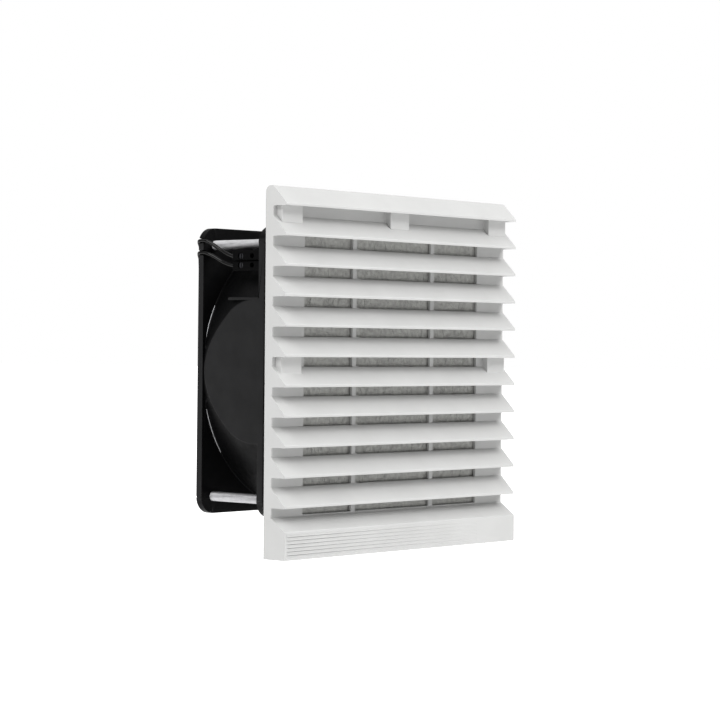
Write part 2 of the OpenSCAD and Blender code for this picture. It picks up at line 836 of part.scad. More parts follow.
// One impeller blade, lofted from the hub to the tip
module blade() {
    span_count = 5;
    chord_count = 6;
    ring = 2 * (chord_count + 1);
    tip = span_count * ring;
    middle = (hub_front + hub_back) / 2;
    points = [
        for (i = [0:span_count])
            each [
                for (j = [0:chord_count]) blade_point(i / span_count, j / chord_count - 0.5, 1),
                for (j = [chord_count:-1:0]) blade_point(i / span_count, j / chord_count - 0.5, -1)
            ]
    ];
    faces = [
        for (j = [0:chord_count - 1])
            each [
                [j, j + 1, ring - 1 - j],
                [j + 1, ring - 2 - j, ring - 1 - j],
                [tip + j, tip + ring - 1 - j, tip + j + 1],
                [tip + j + 1, tip + ring - 1 - j, tip + ring - 2 - j]
            ],
        for (i = [0:span_count - 1], j = [0:ring - 1])
            each [
                [i * ring + j, (i + 1) * ring + j, i * ring + (j + 1) % ring],
                [i * ring + (j + 1) % ring, (i + 1) * ring + j, (i + 1) * ring + (j + 1) % ring]
            ]
    ];
    translate([0, middle, 0])
        polyhedron(points, faces, convexity = 4);
}

// Turning wheel of the fan: cup-shaped hub with pitched blades
module impeller() {
    color([0.10, 0.10, 0.11]) {
        around_y()
            difference() {
                union() {
                    translate([0, hub_front + hub_round])
                        square([hub_r, hub_d - hub_round]);
                    translate([0, hub_front])
                        square([hub_r - hub_round, hub_d]);
                    translate([hub_r - hub_round, hub_front + hub_round])
                        circle(r = hub_round);
                }
                translate([-eps, rotor_front])
                    square([rotor_r + eps, hub_d]);
            }
        for (i = [0:blade_count - 1])
            rotate([0, i * 360 / blade_count, 0])
                blade();
    }
}

// Steel cup of the outer rotor with the bush that grips the shaft
module rotor_cup() {
    color([0.55, 0.56, 0.58])
        around_y()
            difference() {
                union() {
                    translate([0, rotor_front])
                        square([rotor_r, rotor_plate]);
                    translate([rotor_in, rotor_front])
                        square([rotor_r - rotor_in, rotor_back - rotor_front]);
                    translate([0, rotor_front])
                        square([bush_r, bush_end - rotor_front]);
                }
                translate([-eps, rotor_front - eps])
                    square([shaft_r + slip_fit + eps, bush_end - rotor_front + 2 * eps]);
            }
}

// Shaft with the groove for the circlip
module motor_shaft() {
    color([0.75, 0.76, 0.78])
        difference() {
            rod_y(shaft_r, rotor_front, shaft_end);
            ring_y(shaft_r - circlip_groove, 2 * shaft_r, circlip_y, circlip_y + circlip_t);
        }
}

// Flat ring round the Y axis
module ring_y(r_in, r_out, y0, y1) {
    difference() {
        rod_y(r_out, y0, y1);
        rod_y(r_in, y0 - eps, y1 + eps);
    }
}

// Retaining ring behind the rear bearing
module shaft_circlip() {
    circlip_r = shaft_r - circlip_groove;
    color([0.30, 0.30, 0.32])
        difference() {
            ring_y(circlip_r, circlip_r + circlip_w,
                circlip_y + circlip_play, circlip_y + circlip_t - circlip_play);
            block([-circlip_mouth / 2, circlip_y, 0],
                [circlip_mouth / 2, circlip_y + circlip_t, circlip_r + circlip_w + eps]);
        }
}

// Spring washer between the rotor's bush and the front bearing
module preload_washer() {
    color([0.60, 0.60, 0.62])
        ring_y(washer_spring_r, washer_spring_r + washer_spring_w, bush_end, tube_front);
}

// Ball bearing with shielded faces
module bearing(y) {
    color([0.70, 0.71, 0.73])
        difference() {
            ring_y(shaft_r + shaft_gap, bearing_r, y, y + bearing_w);
            for (face = [y, y + bearing_w])
                ring_y(shaft_r + race_in_t, bearing_r - race_out_t, face - shield_d, face + shield_d);
        }
}

module front_bearing() bearing(front_bearing_y);

module rear_bearing() bearing(rear_bearing_y);

// Plug over the rear bearing
module bearing_cap() {
    color([0.16, 0.16, 0.17])
        rod_y(cap_r, fan_back - cap_t, fan_back);
}

// Plate stack with four wound poles
module stator_core() {
    color([0.42, 0.42, 0.44])
        along_y(stator_front, stator_back)
            difference() {
                union() {
                    circle(r = slot_in);
                    intersection() {
                        circle(r = stator_r);
                        union() {
                            square([2 * stator_r, pole_w], center = true);
                            square([pole_w, 2 * stator_r], center = true);
                        }
                    }
                    for (a = [0, 90, 180, 270])
                        rotate(a)
                            intersection() {
                                difference() {
                                    circle(r = stator_r);
                                    circle(r = stator_r - shoe_t);
                                }
                                translate([slot_in, -pole_w])
                                    square([stator_r, 2 * pole_w]);
                            }
                }
                circle(r = tube_r + slip_fit);
            }
}

// Four copper coils on the stator's poles
module stator_windings() {
    coil_in = slot_in + coil_gap;
    coil_half = pole_w / 2 + coil_over;
    coil_out = sqrt((stator_r - shoe_t) ^ 2 - coil_half ^ 2) - coil_gap;
    color([0.72, 0.42, 0.20])
        for (a = [0, 90, 180, 270])
            rotate([0, a, 0])
                difference() {
                    block([coil_in, stator_front - coil_over, -coil_half],
                        [coil_out, stator_back + coil_over, coil_half]);
                    block([coil_in - eps, stator_front - coil_gap, -pole_w / 2 - coil_gap],
                        [coil_out + eps, stator_back + coil_gap, pole_w / 2 + coil_gap]);
                }
}

// Long bolts that hold the fan on the frame, heads at the back
module fan_bolts() {
    head_y = fan_back + washer_t;
    head_end = head_y + head_h;
    color([0.80, 0.81, 0.83])
        at_bolts()
            difference() {
                union() {
                    rod_y(bolt_r, seat_floor - nut_h - bolt_past, head_y + eps);
                    rod_y(head_r, head_y, head_end);
                }
                for (a = [0, 90])
                    rotate([0, a, 0])
                        block([-cross_w / 2, head_end - cross_d, -cross_len / 2],
                            [cross_w / 2, head_end + eps, cross_len / 2]);
            }
}

module bolt_washers() {
    color([0.78, 0.79, 0.81])
        at_bolts()
            ring_y(bolt_r + bolt_gap, washer_r, fan_back, fan_back + washer_t);
}

// Hexagon nuts held in the seat's corners
module bolt_nuts() {
    color([0.78, 0.79, 0.81])
        at_bolts()
            difference() {
                translate([0, seat_floor, 0])
                    rotate([90, 0, 0])
                        cylinder(d = nut_w / cos(30), h = nut_h, $fn = 6);
                rod_y(bolt_r + press_gap, seat_floor - nut_h - eps, seat_floor + eps);
            }
}

// Two-pole terminal behind the front flange
module terminal_block() {
    color([0.11, 0.11, 0.12])
        difference() {
            block([block_x, block_y, block_z - block_h / 2],
                [block_x + block_w, block_end, block_z + block_h / 2]);
            for (z = pole_zs) {
                rod_x(entry_r, block_x - eps, bore_end, entry_y, z);
                rod_x(screw_r + screw_play, block_x - eps, bore_end, screw_y, z);
            }
            block([block_x - eps, block_y - eps, block_z - score_w / 2],
                [block_x + score_d, block_end + eps, block_z + score_w / 2]);
        }
}

module terminal_screws() {
    head_x = block_x + screw_sunk;
    color([0.45, 0.45, 0.47])
        for (z = pole_zs)
            difference() {
                rod_x(screw_r, head_x, bore_end, screw_y, z);
                block([head_x - eps, screw_y - driver_w / 2, z - screw_r],
                    [head_x + driver_d, screw_y + driver_w / 2, z + screw_r]);
            }
}

function unit(v) = v / norm(v);
// Direction of a route at point i
function heading(route, i) = unit(route[min(i + 1, len(route) - 1)] - route[max(i - 1, 0)]);

// Round tube along a route's points
module tube(route, r) {
    up = [0.31, 0.11, 0.94];
    count = lead_facet_count;
    last = len(route) - 1;
    points = [
        for (i = [0:last])
            let (
                d = heading(route, i),
                side = unit(cross(d, up)),
                top = cross(side, d)
            )
            for (j = [0:count - 1])
                let (a = 360 * j / count)
                route[i] + r * (cos(a) * side + sin(a) * top)
    ];
    faces = [
        [for (j = [0:count - 1]) j],
        [for (j = [count - 1:-1:0]) last * count + j],
        for (i = [0:last - 1], j = [0:count - 1])
            each [
                [i * count + j, (i + 1) * count + j, i * count + (j + 1) % count],
                [i * count + (j + 1) % count, (i + 1) * count + j, (i + 1) * count + (j + 1) % count]
            ]
    ];
    polyhedron(points, faces, convexity = 6);
}

module lead_live() color([0.06, 0.06, 0.06]) tube(live_route, lead_r);

module lead_neutral() color([0.08, 0.08, 0.08]) tube(neutral_route, lead_r);

louvre_cover();
mounting_frame();
hinge_pins();
panel_gasket();
filter_mat();
filter_support_grid();
fan_housing();
impeller();
rotor_cup();
motor_shaft();
shaft_circlip();
preload_washer();
front_bearing();
rear_bearing();
bearing_cap();
stator_core();
stator_windings();
fan_bolts();
bolt_washers();
bolt_nuts();
terminal_block();
terminal_screws();
lead_live();
lead_neutral();
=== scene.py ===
"""Looks of a cabinet filter fan: hinged louvre cover, fibre mat, snap-in frame and bolted axial fan."""

import json
import logging
import math
from collections.abc import Callable
from dataclasses import dataclass
from enum import Enum

import bmesh
import bpy
import numpy as np
from mathutils import Matrix, Vector


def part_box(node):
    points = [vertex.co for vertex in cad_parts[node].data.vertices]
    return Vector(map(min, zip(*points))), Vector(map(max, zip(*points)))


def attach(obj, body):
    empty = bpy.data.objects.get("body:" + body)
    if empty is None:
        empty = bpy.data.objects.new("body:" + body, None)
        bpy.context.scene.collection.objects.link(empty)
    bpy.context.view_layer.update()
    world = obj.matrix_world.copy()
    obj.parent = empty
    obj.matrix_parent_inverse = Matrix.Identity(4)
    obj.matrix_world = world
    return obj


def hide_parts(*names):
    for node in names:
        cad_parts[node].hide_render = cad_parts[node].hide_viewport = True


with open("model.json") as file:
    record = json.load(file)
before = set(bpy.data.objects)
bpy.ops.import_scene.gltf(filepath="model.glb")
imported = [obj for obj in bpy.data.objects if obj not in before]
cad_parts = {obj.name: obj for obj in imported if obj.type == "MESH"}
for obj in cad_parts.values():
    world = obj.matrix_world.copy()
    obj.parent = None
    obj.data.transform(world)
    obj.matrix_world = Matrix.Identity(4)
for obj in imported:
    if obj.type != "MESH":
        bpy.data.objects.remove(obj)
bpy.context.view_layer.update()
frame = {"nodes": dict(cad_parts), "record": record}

MM = 0.001
SEAM = 1e-7
WAVE_LENGTH = 0.314
ASIDE = (0.31, 0.11, 0.94)
POLISH_SPAN = (0.3, 0.7)
MIX_INPUTS = (0, 6, 7)
MIX_RESULT = 2
Colour = tuple[float, float, float]
Point = tuple[float, float, float]
Span = tuple[float, float]
Patch = tuple[np.ndarray, np.ndarray]
Piece = bpy.types.Object
Socket = bpy.types.NodeSocket
log = logging.getLogger("filter_fan")


class Body(Enum):
    """Bodies of the assembly that move on their own."""

    BASE = "base"
    COVER = "cover"
    ROTOR = "rotor"


class Grain(Enum):
    """Ways in which a metal surface was worked."""

    ALONG_Y = (1.0, 0.04, 1.0)
    ROUND = (1.0, 1.0, 1.0)


class NodeSheet:
    """Node tree of one material, with short calls for the patterns that the finishes use."""

    def __init__(self, name: str) -> None:
        """Makes the material and its coordinates.

        Args:
            name: Name of the material.
        """
        self.material = bpy.data.materials.new(name)
        self.material.use_nodes = True
        self.tree = self.material.node_tree
        self.shader = self.tree.nodes["Principled BSDF"]
        self.coords = self.node("TexCoord").outputs["Object"]

    def node(
        self, kind: str, source: Socket | None = None, socket: str = "Vector", **values: object
    ) -> bpy.types.Node:
        """Adds a node.

        Args:
            kind: Its type, without the prefix that all types share.
            source: Output that is linked to it, if any.
            socket: Input that takes the link.
            values: Constant values of its inputs, with _ for a space in an input's name.

        Returns:
            The node.
        """
        node = self.tree.nodes.new("ShaderNode" + kind)
        fill(node, values)
        if source:
            self.tree.links.new(source, node.inputs[socket])
        return node

    def put(self, **values: object) -> None:
        """Sets constant values on the shader's own sockets."""
        fill(self.shader, values)

    def wire(self, source: Socket, socket: str) -> None:
        """Links an output to one of the shader's sockets."""
        self.tree.links.new(source, self.shader.inputs[socket])

    def noise(self, size: float, detail: float = 2.0, stretch: Point = (1.0, 1.0, 1.0)) -> Socket:
        """Noise whose blotches are about as large as size.

        Args:
            size: Size of a blotch in metres.
            detail: Number of finer layers.
            stretch: Factor on each coordinate.

        Returns:
            Output that runs from 0 to 1.
        """
        placed = self.node("Mapping", self.coords, Scale=stretch).outputs["Vector"]
        return self.node("TexNoise", placed, Scale=1.0 / size, Detail=detail).outputs[0]

    def cells(self, size: float) -> Socket:
        """Distance to the middle of the nearest cell of a given size in metres."""
        return self.node("TexVoronoi", self.coords, Scale=1.0 / size).outputs[0]

    def axis(self, name: str) -> Socket:
        """One of the object coordinates, by its letter."""
        return self.node("SeparateXYZ", self.coords).outputs[name]

    def maths(self, operation: str, *values: Socket) -> Socket:
        """Works on one or two outputs, with a result held between 0 and 1.

        Args:
            operation: Name of the operation.
            values: Outputs that it works on.

        Returns:
            Output of the operation.
        """
        node = self.node("Math")
        node.operation = operation
        node.use_clamp = True
        for value, socket in zip(values, node.inputs):
            self.tree.links.new(value, socket)
        return node.outputs[0]

    def step(self, value: Socket, start: float, end: float) -> Socket:
        """Smooth step of a value.

        Args:
            value: Output to step.
            start: Value at which the step begins.
            end: Value at which it is done.

        Returns:
            Output that runs from 0 to 1.
        """
        node = self.node("MapRange", value, "Value", From_Min=start, From_Max=end)
        node.interpolation_type = "SMOOTHSTEP"
        return node.outputs["Result"]

    def outermost(self, start: float, end: float) -> Socket:
        """How near a point is to the square outer sides: the smooth step of the larger of |x| and |z|."""
        sizes = [self.maths("ABSOLUTE", self.axis(name)) for name in "XZ"]
        return self.step(self.maths("MAXIMUM", *sizes), start, end)

    def sunken(self, start: float, end: float, within: float) -> Socket:
        """How far a point lies behind a front plane: the smooth step of y, cut off past a half width."""
        behind = self.step(self.axis("Y"), start, end)
        return self.maths("SUBTRACT", behind, self.outermost(within, within + MM))

    def ramp(self, value: Socket, colour: Colour, shades: Span, span: Span) -> Socket:
        """A colour that a pattern makes darker and lighter.

        Args:
            value: Pattern from 0 to 1.
            colour: Colour to vary.
            shades: Factors on the colour at the start and the end of the span.
            span: Values of the pattern between which the colour changes.

        Returns:
            Colour output.
        """
        ramp = self.node("ValToRGB", value, "Fac")
        for element, place, factor in zip(ramp.color_ramp.elements, span, shades):
            element.position = place
            element.color = (*shade(colour, factor), 1.0)
        return ramp.outputs["Color"]

    def tint(self, value: Socket, colour: Colour, shades: Span, span: Span) -> None:
        """Colours the surface by a colour that varies with a pattern."""
        self.wire(self.ramp(value, colour, shades, span), "Base Color")

    def mix(self, share: Socket, under: Socket, over: Socket) -> Socket:
        """Lays a share of one colour over another.

        Args:
            share: Share of the upper colour, from 0 to 1.
            under: Lower colour.
            over: Upper colour.

        Returns:
            Colour output.
        """
        mix = self.node("Mix")
        mix.data_type = "RGBA"
        for socket, source in zip(MIX_INPUTS, (share, under, over)):
            self.tree.links.new(source, mix.inputs[socket])
        return mix.outputs[MIX_RESULT]

    def polish(self, value: Socket, rough: float, change: Span) -> None:
        """Lets a pattern change the roughness.

        Args:
            value: Pattern from 0 to 1.
            rough: Roughness without the pattern.
            change: What is added to it at the start and the end of POLISH_SPAN.
        """
        start, end = POLISH_SPAN
        low, high = (rough + part for part in change)
        span = self.node("MapRange", value, "Value", From_Min=start, From_Max=end, To_Min=low, To_Max=high)
        self.wire(span.outputs["Result"], "Roughness")

    def relief(self, value: Socket, depth: float, strength: float) -> None:
        """Raises the surface by a pattern, with a depth in metres of which a share shows."""
        bump = self.node("Bump", value, "Height", Distance=depth, Strength=strength)
        self.wire(bump.outputs["Normal"], "Normal")


def fill(node: bpy.types.Node, values: dict[str, object]) -> None:
    """Sets constant values on a node's inputs, with _ for a space in an input's name."""
    for key, value in values.items():
        node.inputs[key.replace("_", " ")].default_value = value


def shade(colour: Colour, factor: float) -> Colour:
    """A colour made lighter or darker by a factor."""
    return tuple(min(1.0, part * factor) for part in colour)


@dataclass(frozen=True)
class Finish:
    """What all finishes share: a colour and how rough the surface is."""

    slot: str
    colour: Colour
    rough: float

    def dress(self, sheet: NodeSheet) -> None:
        """Gives the sheet its colour and roughness."""
        sheet.put(Base_Color=(*self.colour, 1.0), Roughness=self.rough)

    def material(self) -> bpy.types.Material:
        """Makes the finish's material once, named after its slot.

        Returns:
            The material, which all pieces of the slot share.
        """
        known = bpy.data.materials.get("finish_" + self.slot)
        if known:
            return known
        sheet = NodeSheet("finish_" + self.slot)
        self.dress(sheet)
        return sheet.material


@dataclass(frozen=True)
class Moulding(Finish):
    """Moulded plastic with a fine spark-eroded grain and a faint flow mottle, with painted shade in its
    recesses.
    """

    grain: float = 0.35 * MM
    grain_h: float = 0.03 * MM
    gloss: float = 0.35
    blotch: float = 18 * MM
    span: Span = (0.35, 0.65)
    # Painted shade in the recesses: share of the colour, the depths over which it comes in and the half width
    # past which it stops.
    recess_shade: float = 1.0
    recess_shade_from: float = -4.45 * MM
    recess_shade_to: float = -4.25 * MM
    recess_shade_within: float = 73.1 * MM
    shades: Span = (0.975, 1.02)
    recess_shades: Span = (0.96, 1.04)
    gloss_patch: float = 4 * MM
    gloss_change: Span = (-0.05, 0.06)
    grain_share: float = 0.35

    def dress(self, sheet: NodeSheet) -> None:
        """Adds the grain, the mottle, painted shade behind the front plane and an uneven polish.

        Args:
            sheet: Node sheet of the material.
        """
        sheet.put(Specular_IOR_Level=self.gloss)
        mottle = sheet.noise(self.blotch, detail=3.0)
        skin = sheet.ramp(mottle, self.colour, self.shades, self.span)
        # Painted shade: a darker copy of the colour on faces behind the front plane, in the recesses between
        # the slats.
        if self.recess_shade < 1:
            shaded_skin = sheet.ramp(mottle, shade(self.colour, self.recess_shade), self.recess_shades, self.span)
            skin = sheet.mix(sheet.sunken(self.recess_shade_from, self.recess_shade_to, self.recess_shade_within), skin, shaded_skin)
        sheet.wire(skin, "Base Color")
        sheet.polish(sheet.noise(self.gloss_patch), self.rough, self.gloss_change)
        sheet.relief(sheet.noise(self.grain, detail=1.0), self.grain_h, self.grain_share)


@dataclass(frozen=True)
class Coating(Finish):
    """Satin paint on metal with the soft orange peel of a sprayed coat, with painted light on its flat outer
    sides that leaves the pockets in painted shade.
    """

    gloss: float = 0.25
    blotch: float = 9 * MM
    span: Span = (0.35, 0.7)
    peel: float = 0.9 * MM
    peel_h: float = 0.06 * MM
    # Painted light on the outer sides: its colour and the distances from the axis over which it comes in.
    lit_sides: Colour | None = None
    lit_sides_from: float = 59.1 * MM
    lit_sides_to: float = 59.45 * MM
    shades: Span = (0.85, 1.2)
    lit_sides_shades: Span = (0.88, 1.12)
    gloss_patch: float = 3 * MM
    gloss_change: Span = (-0.08, 0.1)
    peel_share: float = 0.3

    def dress(self, sheet: NodeSheet) -> None:
        """Adds the orange peel, dull patches and painted light on the outer sides.

        Args:
            sheet: Node sheet of the material.
        """
        sheet.put(Specular_IOR_Level=self.gloss)
        mottle = sheet.noise(self.blotch, detail=3.0)
        coat = sheet.ramp(mottle, self.colour, self.shades, self.span)
        # Painted light: a lighter colour on the outer sides, against which the darker pockets read as painted
        # shade.
        if self.lit_sides:
            lit_coat = sheet.ramp(mottle, self.lit_sides, self.lit_sides_shades, self.span)
            coat = sheet.mix(sheet.outermost(self.lit_sides_from, self.lit_sides_to), coat, lit_coat)
        sheet.wire(coat, "Base Color")
        sheet.polish(sheet.noise(self.gloss_patch, detail=3.0), self.rough, self.gloss_change)
        sheet.relief(sheet.noise(self.peel), self.peel_h, self.peel_share)


@dataclass(frozen=True)
class Metal(Finish):
    """Bare or plated metal with marks of its working."""

    grain: Grain = Grain.ROUND
    mark: float = 0.5 * MM
    mark_h: float = 0.015 * MM
    stain: float = 2.5 * MM
    shades: Span = (0.88, 1.06)
    span: Span = (0.3, 0.7)
    gloss_change: Span = (-0.07, 0.12)
    mark_share: float = 0.4

    def dress(self, sheet: NodeSheet) -> None:
        """Adds the working marks and slight stains.

        Args:
            sheet: Node sheet of the material.
        """
        sheet.put(Metallic=1.0)
        sheet.tint(sheet.noise(self.stain, detail=3.0), self.colour, self.shades, self.span)
        marks = sheet.noise(self.mark, detail=3.0, stretch=self.grain.value)
        sheet.polish(marks, self.rough, self.gloss_change)
        sheet.relief(marks, self.mark_h, self.mark_share)


@dataclass(frozen=True)
class Fibres(Finish):
    """Bonded fibres: matt, with light and dark tufts."""

    tuft: float = 1.6 * MM
    strand: float = 0.7 * MM
    strand_h: float = 0.3 * MM
    strand_share: float = 0.4
    shades: Span = (0.8, 1.15)
    span: Span = (0.3, 0.72)
    gloss: float = 0.1
    sheen: float = 0.15

    def dress(self, sheet: NodeSheet) -> None:
        """Adds tufts and a strand-like relief.

        Args:
            sheet: Node sheet of the material.
        """
        sheet.put(Roughness=self.rough, Specular_IOR_Level=self.gloss, Sheen_Weight=self.sheen)
        sheet.tint(sheet.noise(self.tuft, detail=5.0), self.colour, self.shades, self.span)
        sheet.relief(sheet.noise(self.strand, detail=4.0), self.strand_h, self.strand_share)


@dataclass(frozen=True)
class Foam(Finish):
    """Foam rubber with small open cells."""

    cell: float = 0.5 * MM
    cell_h: float = 0.2 * MM
    cell_share: float = 0.8
    shades: Span = (0.4, 1.3)
    span: Span = (0.0, 0.5)
    gloss: float = 0.2

    def dress(self, sheet: NodeSheet) -> None:
        """Adds the cells.

        Args:
            sheet: Node sheet of the material.
        """
        sheet.put(Roughness=self.rough, Specular_IOR_Level=self.gloss)
        cells = sheet.cells(self.cell)
        sheet.tint(cells, self.colour, self.shades, self.span)
        sheet.relief(cells, self.cell_h, self.cell_share)


@dataclass(frozen=True)
class Wire(Finish):
    """Lacquered copper wire wound in close turns."""

    turn: float = 0.45 * MM
    turn_h: float = 0.12 * MM
    turn_share: float = 0.7
    sway: float = 0.6
    shades: Span = (0.45, 1.1)
    span: Span = (0.1, 0.8)
    lacquer: float = 0.6
    lacquer_rough: float = 0.2
    gloss_patch: float = 1.5 * MM
    gloss_change: Span = (-0.05, 0.1)

    def dress(self, sheet: NodeSheet) -> None:
        """Adds the turns as fine bands, by the length of one band of a wave of scale 1.

        Args:
            sheet: Node sheet of the material.
        """
        sheet.put(Metallic=1.0, Coat_Weight=self.lacquer, Coat_Roughness=self.lacquer_rough)
        bands = sheet.node("TexWave", sheet.coords, Scale=WAVE_LENGTH / self.turn, Distortion=self.sway)
        bands.bands_direction = "DIAGONAL"
        sheet.tint(bands.outputs[1], self.colour, self.shades, self.span)
        sheet.polish(sheet.noise(self.gloss_patch), self.rough, self.gloss_change)
        sheet.relief(bands.outputs[1], self.turn_h, self.turn_share)


FINISHES: tuple[Finish, ...] = (
    # The cover's recesses carry painted shade.
    Moulding("cover_plastic", (0.497, 0.498, 0.492), 0.42, recess_shade=0.84),
    Moulding("frame_plastic", (0.460, 0.461, 0.455), 0.45),
    Moulding("terminal_black", (0.0014, 0.0014, 0.0015), 0.6, gloss=0.04),
    Moulding("lead_black", (0.0016, 0.0016, 0.0016), 0.14, grain=0.8 * MM, gloss=0.22),
    Fibres("filter_fibre", (0.36, 0.36, 0.345), 0.95),
    Foam("gasket_foam", (0.020, 0.020, 0.021), 0.9),
    # The housing's outer sides carry painted light, and its pockets carry painted shade.
    Coating("fan_black", (0.0022, 0.0022, 0.0024), 0.45, gloss=0.08, lit_sides=(0.0138, 0.0138, 0.0142)),
    Coating("impeller_black", (0.0065, 0.0065, 0.007), 0.42),
    Metal("motor_steel", (0.36, 0.36, 0.37), 0.42),
    Metal("pin_steel", (0.62, 0.62, 0.63), 0.24, Grain.ALONG_Y),
    Metal("bearing_steel", (0.60, 0.61, 0.62), 0.2),
    Metal("dark_steel", (0.10, 0.10, 0.11), 0.38),
    Wire("winding_copper", (0.60, 0.26, 0.10), 0.32),
    Metal("bolt_zinc", (0.52, 0.52, 0.53), 0.5),
    Metal("screw_dark", (0.05, 0.05, 0.055), 0.4),
)
FINISH_OF: dict[str, Finish] = {finish.slot: finish for finish in FINISHES}
SLOT_OF: dict[str, str] = {row["node"]: row["material_slot"] for row in frame["record"]["subparts"]}


def quads_between(rows: int, columns: int, ring: bool) -> np.ndarray:
    """Faces of a grid of points: each joins a point, the next one in its row and the two below them.

    Args:
        rows: Number of rows.
        columns: Number of points in a row.
        ring: True if a row's last point is joined to its first.

    Returns:
        Array of four indices for each face.
    """
    row = np.arange(rows - 1)[:, None] * columns
    column = np.arange(columns if ring else columns - 1)[None, :]
    after = (column + 1) % columns
    below = row + columns
    return np.stack([row + column, row + after, below + after, below + column], -1).reshape(-1, 4)


def surface(points: np.ndarray, ring: bool = True) -> Patch:
    """A grid of points in metres as a patch, whose rows are closed rings or open lines."""
    rows, columns = points.shape[:2]
    return points.reshape(-1, 3), quads_between(rows, columns, ring)


def revolve(profile: np.ndarray, steps: int, centre: Span = (0.0, 0.0)) -> Patch:
    """Carries a profile of r and y round a line along Y: x = cx + r cos t, z = cz + r sin t.

    Args:
        profile: Radius and Y of each point, in metres, from axis to axis or as a closed loop.
        steps: Number of steps in a full turn.
        centre: X and Z of the line.

    Returns:
        Patch with one row for each point of the profile.
    """
    turn = np.arange(steps) * 2 * np.pi / steps
    radius, height = profile[:, :1], profile[:, 1:]
    x = centre[0] + radius * np.cos(turn)
    z = centre[1] + radius * np.sin(turn)
    return surface(np.stack([x, np.broadcast_to(height, x.shape), z], -1))


def rounded(corners: np.ndarray, radii: np.ndarray, steps: int = 5) -> np.ndarray:
    """Rounds the corners of a closed outline: each corner becomes an arc that touches both its sides.

    The arc is the quadratic curve p = (1 - t)^2 a + 2 t (1 - t) c + t^2 b from the point a on one side to
    the point b on the other, both at the radius from the corner c.

    Args:
        corners: Corner points in two dimensions.
        radii: Distance from each corner at which its arc starts, where 0 keeps the corner.
        steps: Points on each arc.

    Returns:
        Points of the rounded outline.
    """
    to_last = np.roll(corners, 1, 0) - corners
    to_next = np.roll(corners, -1, 0) - corners
    start = corners + to_last / np.linalg.norm(to_last, axis=1, keepdims=True) * radii[:, None]
    end = corners + to_next / np.linalg.norm(to_next, axis=1, keepdims=True) * radii[:, None]
    t = np.linspace(0, 1, steps)[None, :, None]
    arcs = (1 - t) ** 2 * start[:, None] + 2 * t * (1 - t) * corners[:, None] + t**2 * end[:, None]
    return arcs.reshape(-1, 2)


def tube(path: np.ndarray, radii: np.ndarray, sides: int) -> Patch:
    """Carries a circle along a path: each ring is p + r (cos t side + sin t top), square to the path.

    Args:
        path: Points of the path, in metres, which never runs along ASIDE.
        radii: Radius at each point, where 0 closes an end.
        sides: Points in a ring.

    Returns:
        Patch with one ring for each point.
    """
    ahead = np.gradient(path, axis=0)
    ahead /= np.linalg.norm(ahead, axis=1, keepdims=True)
    side = np.cross(ahead, ASIDE)
    side /= np.linalg.norm(side, axis=1, keepdims=True)
    top = np.cross(side, ahead)
    turn = np.arange(sides) * 2 * np.pi / sides
    ring = np.cos(turn)[None, :, None] * side[:, None] + np.sin(turn)[None, :, None] * top[:, None]
    return surface(path[:, None] + radii[:, None, None] * ring)


def smooth_path(points: np.ndarray, steps: int) -> np.ndarray:
    """Runs a smooth line through points: a cubic between each two, which keeps the mean direction at both.

    Args:
        points: Points that the line passes.
        steps: Steps between two points.

    Returns:
        Points of the line.
    """
    slope = np.gradient(points, axis=0)
    t = np.linspace(0, 1, steps, endpoint=False)[None, :, None]
    a, b = points[:-1, None], points[1:, None]
    m, n = slope[:-1, None], slope[1:, None]
    line = (2 * t**3 - 3 * t**2 + 1) * a + (t**3 - 2 * t**2 + t) * m
    line = line + (3 * t**2 - 2 * t**3) * b + (t**3 - t**2) * n
    return np.vstack([line.reshape(-1, 3), points[-1:]])


def flipped(patch: Patch) -> Patch:
    """A patch with its faces turned over."""
    return patch[0], patch[1][:, ::-1]


def outward(patch: Patch) -> Patch:
    """A closed patch with its faces outwards.

    The sum of a . (b x c) + a . (c x d) over the faces a b c d is then positive.

    Args:
        patch: Closed patch whose faces all turn the same way.

    Returns:
        The patch, turned over where that sum is negative.
    """
    a, b, c, d = (patch[0][patch[1][:, i]] for i in range(4))
    volume = np.einsum("ij,ij->", a, np.cross(b, c) + np.cross(c, d))
    return patch if volume > 0 else flipped(patch)


def joined(patches: list[Patch]) -> Patch:
    """Joins several patches.

    Args:
        patches: Patches to join.

    Returns:
        One patch with all their points and faces.
    """
    counts = np.cumsum([0] + [len(points) for points, _ in patches])
    faces = [quads + first for (_, quads), first in zip(patches, counts)]
    return np.vstack([points for points, _ in patches]), np.vstack(faces)


def merge(mesh: bpy.types.Mesh, distance: float) -> None:
    """Merges the points of a mesh that lie close together.

    Args:
        mesh: Mesh to change.
        distance: Distance in metres up to which points merge.
    """
    shape = bmesh.new()
    shape.from_mesh(mesh)
    bmesh.ops.remove_doubles(shape, verts=shape.verts, dist=distance)
    shape.to_mesh(mesh)
    shape.free()


